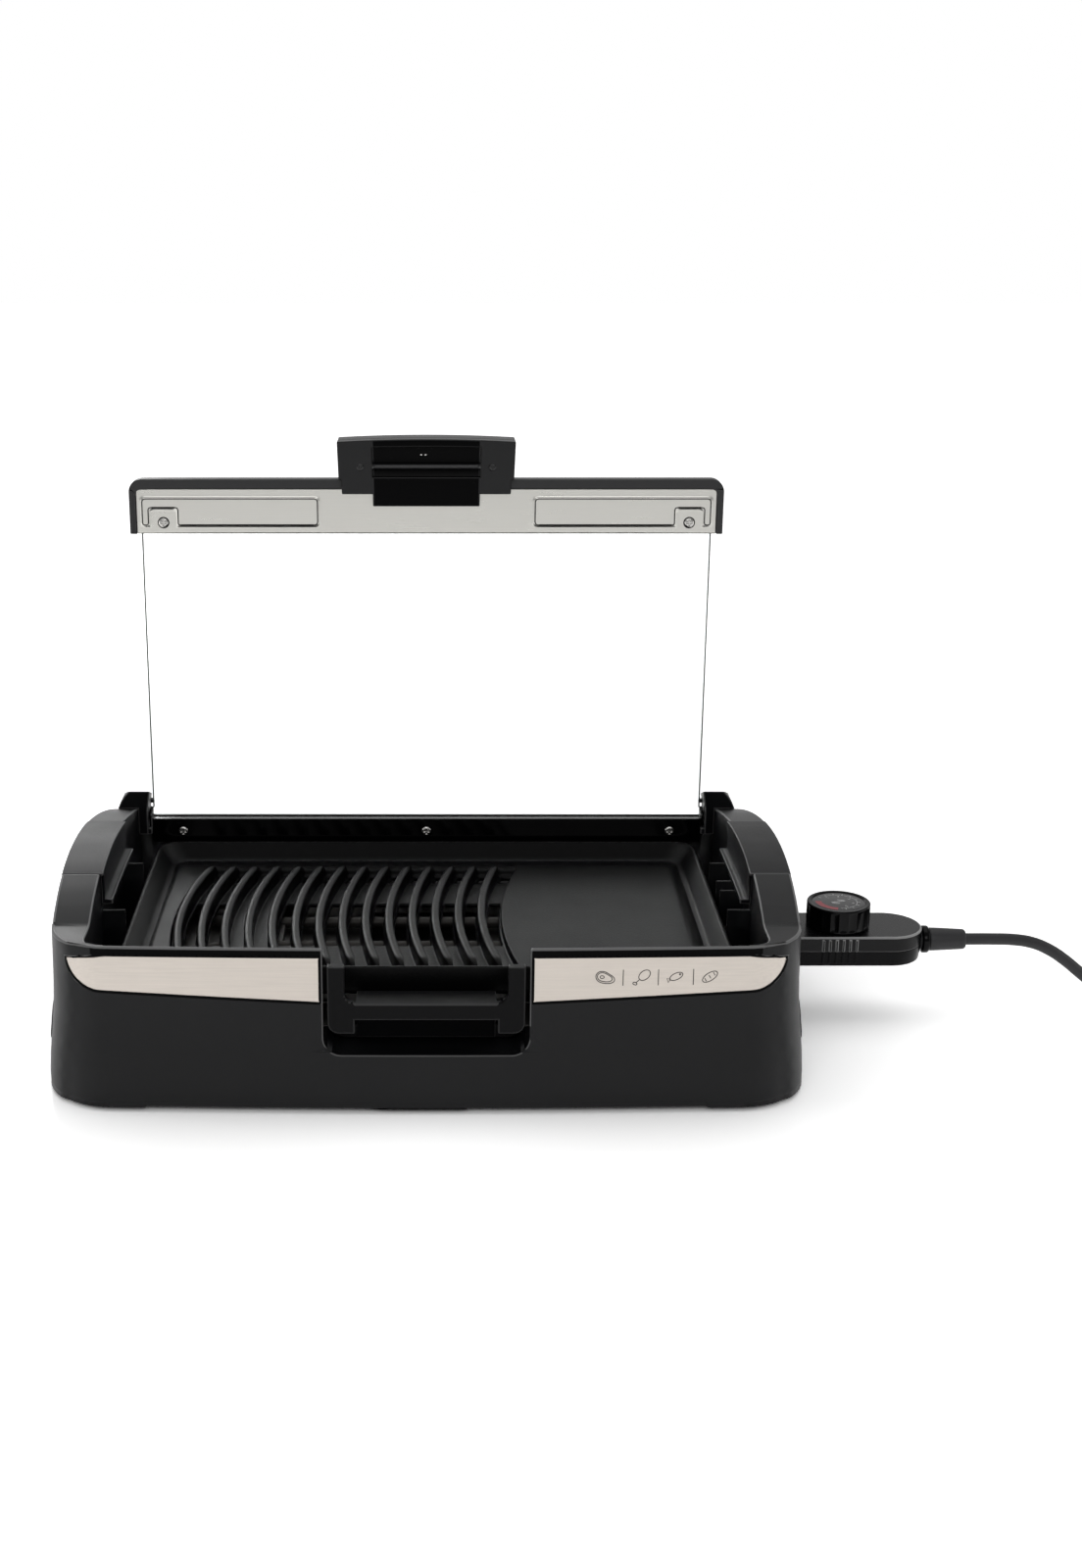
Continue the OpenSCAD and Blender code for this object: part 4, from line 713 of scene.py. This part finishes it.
def pocketLines(c, sign):
    # painted shade: a dark outline of a pocket and of its tab, drawn on the raised face just inside
    # the slope, wider along the pocket's foot and the tab's top
    x0, x1, z0, z1 = c["pocket"]
    a, b, low, top = x0 + 1.2, x1 - 1.2, z0 + 1.2, z1 - 1.2
    tabX, tabHalf, tabTop = c["tab"]
    t0, t1, tz = tabX - tabHalf - 1.2, tabX + tabHalf + 1.2, tabTop + 1.2
    round_ = [(a + 2.2, low), (t0 - 1.2, low), (t0 - 0.4, low + 0.3), (t0, low + 1.2),
              (t0, tz - 1.6), (t0 + 0.5, tz - 0.4), (t0 + 1.6, tz), (t1 - 1.6, tz),
              (t1 - 0.5, tz - 0.4), (t1, tz - 1.6), (t1, low + 1.4), (t1 + 0.6, low + 0.3),
              (t1 + 1.4, low), (b - 1.2, low), (b - 0.3, low + 0.6), (b, low + 1.6), (b, top - 2.2),
              (b - 0.6, top - 0.6), (b - 2.2, top), (a + 2.2, top), (a + 0.6, top - 0.6),
              (a, top - 2.2), (a, low + 2.2), (a + 0.6, low + 0.6)]
    way = np.array([sign, 1])
    return [ribbon("pocketLine", np.array(round_) * way, c["line"], onPocket, True),
            ribbon("pocketLow", np.array([(a + 3, low), (t0 - 2, low)]) * way, c["lowLine"],
                   onPocket),
            ribbon("pocketTab", np.array([(t0 + 2.5, tz), (t1 - 2.5, tz)]) * way, c["lowLine"],
                   onPocket)]


# the dark lines round the pockets are painted shade
join(pocketLines(strip, -1) + pocketLines(strip, 1), "pocketLines", "lid",
     "iconEtch")

screws = {
    # stripSeats: a flat near-black disc under each strip screw, wider than its head, painted shade
    # round the head
    "stripSeats": {"at": [(-184.4, 314.7), (184.4, 314.7)], "y": 128.8, "r": 4.1, "h": 0.06,
                   "node": "strip_screws", "finish": "insertPlastic"},
    "stripHeads": {"at": [(-184.4, 314.7), (184.4, 314.7)], "y": 128.8, "r": 3.4, "h": 1.3,
                   "node": "strip_screws", "finish": "screwSteel"},
    "railHeads": {"at": [(-178, 87.6), (0, 87.6), (178, 87.6)], "y": 124.5, "r": 3.4, "h": 1.3,
                  "node": "rail_screws", "finish": "screwSteel"},
    "handleHeads": {"at": [(-46, 354.5), (46, 354.5)], "y": 122.5, "r": 2.4, "h": 0.5,
                    "node": "handle_screws", "finish": "rodPlastic"},
}
for name, c in screws.items():
    heads = [screwHead(name + str(k), x, z, c["y"], c["r"], c["h"], c["h"] * 0.8, "lid",
                       c["finish"]) for k, (x, z) in enumerate(c["at"])]
    join(heads, name, "lid", c["finish"], [c["node"]])


def frameEdges(middle, usual):
    # the band's upper edges are rounder than the others
    return np.where(middle[:, 2] > 340, 0.9, usual)


rounded("lid_glass", "lid", 0.5, segments=2)
rounded("lid_frame", "lid", 0.6, frameEdges, None, [(0, -195), (0, 195), (2, 340.5)])
rounded("hinge_rail", "lid", 0.9)

glassSide = {"x": 199.4, "thick": 0.8, "y": (129.95, 134.05), "z": (104, 306.5)}


def makeGlassSide(c, sign):
    # the ground side of the glass, a thin slab over it
    x0, x1 = sign * c["x"], sign * (c["x"] + c["thick"])
    y0, y1 = c["y"]
    section = np.array([(x0, y0), (x1, y0), (x1, y1), (x0, y1)])
    z = np.array(c["z"], float)[:, None] * np.ones(4)
    return surface("glassSide", np.concatenate([np.stack([section, section]), z[..., None]], -1),
                   wrapV=True, caps=[0, -1])


join([makeGlassSide(glassSide, -1), makeGlassSide(glassSide, 1)], "glassSides", "lid",
     "glassEdge")

handle = {"top": 373.3, "bow": 1.7, "half": 62, "from": 350, "drop": 1.2, "lean": 0.022,
          "leanOver": 40, "end": 37}


def bowHandle(co):
    # the top rises by bow * (1 - (x / half)^2) - drop, and the sides lean in towards the foot
    h = handle
    bent = co.copy()
    up = np.clip((co[:, 2] - h["from"]) / (h["top"] - h["from"]), 0, 1)
    bent[:, 2] += (h["bow"] * (1 - (co[:, 0] / h["half"]) ** 2) - h["drop"]) * up
    bent[:, 0] *= 1 - h["lean"] * np.clip((h["top"] - co[:, 2]) / h["leanOver"], 0, 1)
    return bent


handleCuts = [(0, v) for v in range(-50, 51, 10)] + [(0, -handle["end"]), (0, handle["end"])]
rounded("handle_shell", "lid", 1.0, None, bowHandle, handleCuts)
insert = rounded("handle_insert", "lid", 0.7, None, bowHandle, handleCuts)
insert.data.materials.append(materials["handlePlastic"])  # its two ends are duller
far = np.abs(read(insert.data.polygons, "center")[:, 0]) > handle["end"] * mm
insert.data.polygons.foreach_set("material_index", np.where(far, 2, 0).astype(np.int32))
rodShape = [(0, -41.5), (3.2, -41.5), (3.2, -37.6), (2.9, -37.2), (2.2, -36.6), (2.0, -35),
            (2.0, 35), (2.2, 36.6), (2.9, 37.2), (3.2, 37.6), (3.2, 41.5), (0, 41.5)]
dress(lathe("handleRodLooks", rodShape, "x", (0, 126, 354.5), 40), "lid",
      "rodPlastic", ["handle_rod"])
studs = [lathe("stud" + str(k), [(0, 0), (0.9, 0), (0.85, -0.35), (0.5, -0.6), (0, -0.65)], "y",
               (x, 128.7, 362.3), 24) for k, x in enumerate((-3.6, -0.6))]
join(studs, "handleStuds", "lid", "screwSteel")
print("lid and handle")


# the drip tray's front

def trayEdges(middle, usual):
    # the front edges are rounder than the others
    return np.where(middle[:, 1] < -146, 0.9, usual)


rounded("tray_handle", "drawer", 0.6, trayEdges)
rounded("drip_tray", "drawer", 0.4, segments=2)
for node in ("tray_guide", "reflector_pan", "element_supports", "terminal_bracket"):
    rounded(node, "base", 0.15, segments=1)
print("tray")


# the controller: case, knob with its dial, strain relief

case = {
    "end": 312.5, "rim": 23.0, "top": 62.8, "foot": 42.3, "topEdge": 1.3, "footEdge": 2.0,
    "seam": (48, 52), "lean": 0.07, "leanFrom": 50, "leanOver": 11,
}


def caseEdges(middle, usual):
    # the outer edges above and below are rounded more than the ribs, and the seam stays sharp
    c = case
    x, y, z = middle[:, 0], np.abs(middle[:, 1]), middle[:, 2]
    rim = np.hypot(np.maximum(x - c["end"], 0), y) > c["rim"]
    width = np.full(len(middle), float(usual))
    width[rim & (z > c["top"])] = c["topEdge"]
    width[rim & (z < c["foot"])] = c["footEdge"]
    width[(z > c["seam"][0]) & (z < c["seam"][1])] = 0
    return width


def caseLean(co):
    # the lower half's walls lean in towards the foot, by a share of their distance from the middle
    bent = co.copy()
    share = 1 - case["lean"] * np.clip((case["leanFrom"] - co[:, 2]) / case["leanOver"], 0, 1)
    bent[:, 1] *= share
    bent[:, 0] += np.maximum(co[:, 0] - case["end"], 0) * (share - 1)
    return bent


rounded("case_top", "controller", 0.35, caseEdges)
rounded("case_bottom", "controller", 0.35, caseEdges, caseLean)
rounded("plug_nose", "controller", 0.5, segments=2)
rounded("cord_tie", "controller", 0.15, segments=2)

knob = {"x": 279, "z": 63.6, "r": 21.25, "h": 16.4, "flutes": 22, "fluteDepth": 0.7}


def knobFlutes(radius, along, turn):
    # shallow flutes round the side: radius less depth * |sin(n a / 2)|^0.6, faded out at both ends
    c = knob
    rise = ease((along - 1) / 2) * ease((c["h"] - 1.2 - along) / 1.5) * (radius > c["r"] - 1.2)
    return radius - c["fluteDepth"] * rise * np.abs(np.sin(turn * c["flutes"] / 2)) ** 0.6


def knobProfile(c):
    r, h = c["r"], c["h"]
    up = np.radians(np.linspace(0, 90, 5))
    rim = np.stack([r - 0.9 + 0.9 * np.cos(up), h - 0.9 + 0.9 * np.sin(up)], 1)
    side = [(r - 0.6, 0.0), (r, 0.5), (r, 1.2), (r, 2), (r, 3), (r, 8), (r, h - 3), (r, h - 2),
            (r, h - 1.2)]
    return np.concatenate([[(16.5, 0.4)], side, rim, [(18.6, h), (18.3, h - 0.2), (18.2, h - 0.9),
                                                      (0, h - 0.9)]])


knobPiece = lathe("knobLooks", knobProfile(knob), "z", (knob["x"], 0, knob["z"]), 264, knobFlutes)
dress(knobPiece, "dial_knob", "knobPlastic", ["knob"])


def onDial(x, y):
    return np.stack([x + knob["x"], y, np.full(x.shape, inkZ)], -1)


def ring(name, r0, r1, a0, a1):
    # a flat band between two radii and two angles
    a = np.radians(np.linspace(a0, a1, 60))[:, None]
    r = np.array([r0, r1])[None, :]
    return surface(name, onDial(r * np.cos(a), r * np.sin(a)))


def digit(text, x, y, size, turn, name):
    # a plain number, made from the usual font and laid on the dial
    curve = bpy.data.curves.new(name, "FONT")
    curve.body = text
    curve.size = size * mm
    curve.align_x = "CENTER"
    curve.align_y = "CENTER"
    loose = bpy.data.objects.new(name, curve)
    mesh = bpy.data.meshes.new_from_object(loose)
    bpy.data.objects.remove(loose)
    co = read(mesh.vertices, "co")
    c, s = math.cos(turn), math.sin(turn)
    co = np.stack([(knob["x"] + x) * mm + co[:, 0] * c - co[:, 1] * s,
                   y * mm + co[:, 0] * s + co[:, 1] * c, np.full(len(co), inkZ * mm)], -1)
    mesh.vertices.foreach_set("co", co.reshape(-1))
    return put(name, mesh)


dialZ = knob["z"] + knob["h"] - 0.5
discShape = [(0, 0.2), (15.8, 0.2), (16.2, 0.15), (17.9, 0.0), (18.1, -0.25), (17.9, -0.4),
             (0, -0.4)]
dress(lathe("dialDisc", discShape, "z", (knob["x"], 0, dialZ), 96), "dial_knob",
      "dialPrint", ["knob_dial"])
inkZ = dialZ + 0.24
join([ring("redBand", 11.6, 15.8, 176, 258)], "dialRed", "dial_knob", "dialRed")
white = [ring("scale" + str(k), 12.2, 12.5, a, a + 52) for k, a in enumerate((268, 324, 20, 76))]
for k, a in enumerate(range(-80, 170, 25)):
    c, s = math.cos(math.radians(a)), math.sin(math.radians(a))
    white.append(ribbon("tick" + str(k), [(12.8 * c, 12.8 * s), (14.6 * c, 14.6 * s)], 0.45,
                        onDial))
for k, a in enumerate((-68, -18, 32, 82, 132)):
    c, s = math.cos(math.radians(a)), math.sin(math.radians(a))
    white.append(digit(str(5 - k), 9.6 * c, 9.6 * s, 3.6, math.radians(a) - math.pi / 2,
                       "number" + str(k)))
for name, points, width in (("needle", [(-5.2, -1.6), (4.6, 1.4)], 0.9),
                            ("needleTip", [(4.6, 1.4), (2.2, 3.0), (-0.4, 3.4)], 0.8),
                            ("needleFoot", [(-5.2, -1.6), (-3.0, -3.2), (0.2, -3.6)], 0.8)):
    white.append(ribbon(name, points, width, onDial))
join(white, "dialMarks", "dial_knob", "dialWhite")

relief = {"profile": [(0, 328), (7.9, 328), (7.9, 330.9), (6.6, 331.2), (6.6, 341.1), (7.6, 341.6),
                      (7.9, 342.6), (7.8, 346), (7.4, 354), (6.9, 363.5), (6.7, 365.2),
                      (6.0, 366.0), (4.0, 366.2), (0, 366.2)],
          "collar": [(6.5, 336.2), (8.6, 336.4), (9.3, 337.1), (9.3, 340.2), (8.7, 341.0),
                     (6.5, 341.2)]}
for name, part, finish in (("reliefCollar", "collar", "knobPlastic"),
                           ("strainReliefLooks", "profile", "cordRubber")):
    dress(lathe(name, relief[part], "x", (0, 0, 52.5), 56), "controller", finish,
          ["strain_relief"])
print("controller, knob and dial")


# four plain food signs with rules between them on the right trim

# gap: width in mm of the dark ribbon round each trim, a dark joint with painted shade in it; over:
# width and height in mm of a dark ribbon above each trim, painted shadow under the lip
icons = {"row": 88.1, "places": (108.0, 130.5, 151.9, 172.0), "rules": (119.2, 140.6, 161.9),
         "stroke": 0.52, "gap": 1.7, "over": (4.0, 103.9)}


def onWall(x, z, proud):
    # the leaning front wall at that height, round the corner, moved by the wall's bow
    lean = 6 * np.interp(z, [-5, 12, 25, 40, 57, 75, 125], [0, 0.03, 0.17, 0.45, 0.75, 0.87, 1])
    over = np.maximum(np.abs(x) - 195, 0)
    y = 111 + np.sqrt(np.maximum((45.5 - lean) ** 2 - over ** 2, 0)) + proud
    return bowWalls(np.stack([x, -y, z], -1).reshape(-1, 3)).reshape(x.shape + (3,))


def onTrim(x, z):
    return onWall(x, z, -0.15)


def onHousing(x, z):
    return onWall(x, z, 0.05)


def stroke(name, points, closed=False):
    return ribbon(name, points, icons["stroke"], onTrim, closed)


def trimGap(sign):
    # the gap round a trim as a dark ribbon, a dark joint with painted shade in it, and a wide
    # ribbon above the trim, painted shadow under the lip
    turn = np.radians(np.linspace(-90, -10, 20))
    low = np.stack([np.linspace(64.6, 200.2, 40), np.linspace(71.8, 78.1, 40)], 1)
    bend = np.stack([200.2 + 22.4 * np.cos(turn), 100.5 + 22.4 * np.sin(turn)], 1)
    top = np.stack([np.linspace(195.7, 64.6, 40), np.full(40, 101.9)], 1)
    left = np.stack([np.full(5, 64.6), np.linspace(100, 74, 5)], 1)
    line = np.concatenate([low, bend[1:], [(212, 99.8), (203, 101.2)], top, left])
    wide, level = icons["over"]
    over = np.stack([np.linspace(64, 205, 60), np.full(60, level)], 1)
    return [ribbon("trimGap", line * (sign, 1), icons["gap"], onHousing, True),
            ribbon("trimOver", over * (sign, 1), wide, onHousing)]


# dark ribbons round the trims and above them: painted shade
join(trimGap(-1) + trimGap(1), "trimGaps", "base", "insertPlastic")


def blob(x, z, rx, rz, waves, turn=0.0):
    # an oval whose radius changes by a sum of waves (size, count, phase)
    a = np.linspace(0, 2 * np.pi, 49)[:-1]
    r = 1 + sum(s * np.cos(n * a + f) for s, n, f in waves)
    px, pz = rx * r * np.cos(a), rz * r * np.sin(a)
    c, s = math.cos(turn), math.sin(turn)
    return np.stack([x + px * c - pz * s, z + px * s + pz * c], 1)


row = icons["row"]
x1, x2, x3, x4 = icons["places"]
lines = [
    stroke("steak", blob(x1, row, 5.4, 3.9, [(0.12, 2, 1.0), (0.06, 3, 0.4)], -0.15), True),
    stroke("steakFat", blob(x1 - 0.2, row + 0.2, 4.3, 2.9, [(0.12, 2, 1.0), (0.06, 3, 0.4)], -0.15),
           True),
    stroke("steakBone", blob(x1 - 1.6, row + 0.5, 1.2, 0.9, []), True),
    stroke("leg", blob(x2 + 1.2, row + 1.1, 4.0, 2.7, [(0.15, 1, 0.0)], 0.75), True),
    stroke("legBone", [(x2 - 1.6, row - 1.6), (x2 - 3.4, row - 3.3)]),
    stroke("legKnob", blob(x2 - 4.1, row - 3.9, 1.0, 1.0, [(0.25, 2, 0.8)]), True),
    stroke("fish", blob(x3 - 0.6, row + 0.4, 4.2, 2.1, [(0.05, 1, 0.0)], 0.45), True),
    stroke("fishTail", [(x3 - 4.0, row - 1.4), (x3 - 6.0, row - 0.8), (x3 - 5.2, row - 3.6),
                        (x3 - 4.0, row - 1.4)]),
    stroke("fishEye", blob(x3 + 1.8, row + 1.8, 0.4, 0.4, []), True),
    stroke("roll", blob(x4, row, 5.0, 2.6, [(0.04, 2, 0.5)], 0.62), True),
] + [stroke("rollMark" + str(k), [(x4 + d - 0.7, row + d * 0.72 + 1.0),
                                  (x4 + d + 0.5, row + d * 0.72 - 1.0)])
     for k, d in enumerate((-2.6, 0.0, 2.6))]
lines += [stroke("rule" + str(k), [(x, row - 5.2), (x, row), (x, row + 5.2)])
          for k, x in enumerate(icons["rules"])]
join(lines, "trimSigns", "base", "iconEtch")
print("signs")


# floor, background and lamps

studio = {
    "world": 0.30, "behind": 0.65, "turn": (0.35, 0.85), "bounce": 0.55, "mirror": 1.6, "seen": 2.0,
    "lift": (0.40, 1.4, 0.6), "table": 6.0, "gloss": 0.05, "glossRough": 0.16,
    "lamps": {
        "above": {"at": (0.0, 0.25, 1.35), "to": (0, 0.0, 0), "size": (2.0, 1.0), "power": 5},
        "leftSide": {"at": (-1.1, -0.10, 0.28), "to": (-0.2, -0.1, 0.06), "size": (0.5, 0.5),
                     "power": 1.4},
        "rightSide": {"at": (1.1, -0.10, 0.28), "to": (0.2, -0.1, 0.06), "size": (0.5, 0.5),
                      "power": 0.9},
        "leftBehind": {"at": (-0.62, 1.65, 0.78), "to": (-0.2, 0, 0.1), "size": (0.45, 0.6),
                       "power": 3.2},
        "front": {"at": (0.0, -1.9, 1.3), "to": (0, 0, 0.0), "size": (1.8, 0.8), "power": 9},
    },
}


def seenRays(tree):
    # 1 for camera rays and for rays through the glass
    path = makeNode(tree, "LightPath").outputs
    return makeNode(tree, "Math", {0: path["Is Camera Ray"], 1: path["Is Transmission Ray"]},
                    operation="MAXIMUM").outputs["Value"]


def makeWorld(c):
    # the studio is paler behind the object, and white where the background is seen
    world = bpy.data.worlds.new("studio")
    world.use_nodes = True
    scene.world = world
    tree = world.node_tree
    plain = tree.nodes["Background"]
    plain.inputs["Color"].default_value = (1, 1, 1, 1)
    where = makeNode(tree, "TexCoord").outputs["Generated"]
    axes = makeNode(tree, "SeparateXYZ", {"Vector": where})
    start, end = c["turn"]
    light = makeNode(tree, "MapRange", {"Value": axes.outputs["Y"], "From Min": start,
                                        "From Max": end, "To Min": c["world"],
                                        "To Max": c["behind"]}, interpolation_type="SMOOTHSTEP")
    strength = makeNode(tree, "MapRange", {"Value": seenRays(tree),
                                           "To Min": light.outputs["Result"]})
    tree.links.new(strength.outputs["Result"], plain.inputs["Strength"])


def makeFloor(c):
    # a white table that takes the object's shadow and a faint reflection. Camera rays see it
    # paler than the light that it sends on, and lifted to white far from the object
    side = c["table"]
    mesh = bpy.data.meshes.new("table")
    mesh.from_pydata([(-side, -side, 0), (side, -side, 0), (side, side, 0), (-side, side, 0)], [],
                     [(0, 1, 2, 3)])
    made = bpy.data.materials.new("tableWhite")
    made.use_nodes = True
    tree = made.node_tree
    tree.nodes.remove(tree.nodes["Principled BSDF"])
    seen = seenRays(tree)
    glossy = makeNode(tree, "LightPath").outputs["Is Glossy Ray"]
    mirrored = makeNode(tree, "MapRange", {"Value": glossy, "To Min": c["bounce"],
                                           "To Max": c["mirror"]})
    tone = makeNode(tree, "MapRange", {"Value": seen, "To Min": mirrored.outputs["Result"],
                                       "To Max": c["seen"]})
    matt = makeNode(tree, "BsdfDiffuse", {"Color": tone.outputs["Result"]})
    gloss = makeNode(tree, "BsdfGlossy", {"Roughness": c["glossRough"], "Color": (1, 1, 1, 1)})
    skin = makeNode(tree, "MixShader", {"Fac": c["gloss"], 1: matt.outputs["BSDF"],
                                        2: gloss.outputs["BSDF"]})
    where = makeNode(tree, "TexCoord").outputs["Object"]
    far = makeNode(tree, "VectorMath", {0: where}, operation="LENGTH")
    near, full, most = c["lift"]
    lift = makeNode(tree, "MapRange", {"Value": far.outputs["Value"], "From Min": near,
                                       "From Max": full, "To Max": most},
                    interpolation_type="SMOOTHSTEP")
    only = makeNode(tree, "Math", {0: lift.outputs["Result"], 1: seen}, operation="MULTIPLY")
    glow = makeNode(tree, "Emission", {"Strength": only.outputs["Value"]})
    both = makeNode(tree, "AddShader", {0: skin.outputs["Shader"], 1: glow.outputs["Emission"]})
    tree.links.new(both.outputs["Shader"], tree.nodes["Material Output"].inputs["Surface"])
    mesh.materials.append(made)
    obj = put("table", mesh)


def makeLamps(lamps):
    for name, c in lamps.items():
        data = bpy.data.lights.new(name, "AREA")
        data.shape = "RECTANGLE"
        data.size, data.size_y = c["size"]
        data.energy = c["power"]
        obj = put(name, data)
        obj.location = c["at"]
        away = obj.location - mathutils.Vector(c["to"])
        obj.rotation_euler = away.to_track_quat("Z", "Y").to_euler()


makeWorld(studio)
makeFloor(studio)
makeLamps(studio["lamps"])
print("studio")
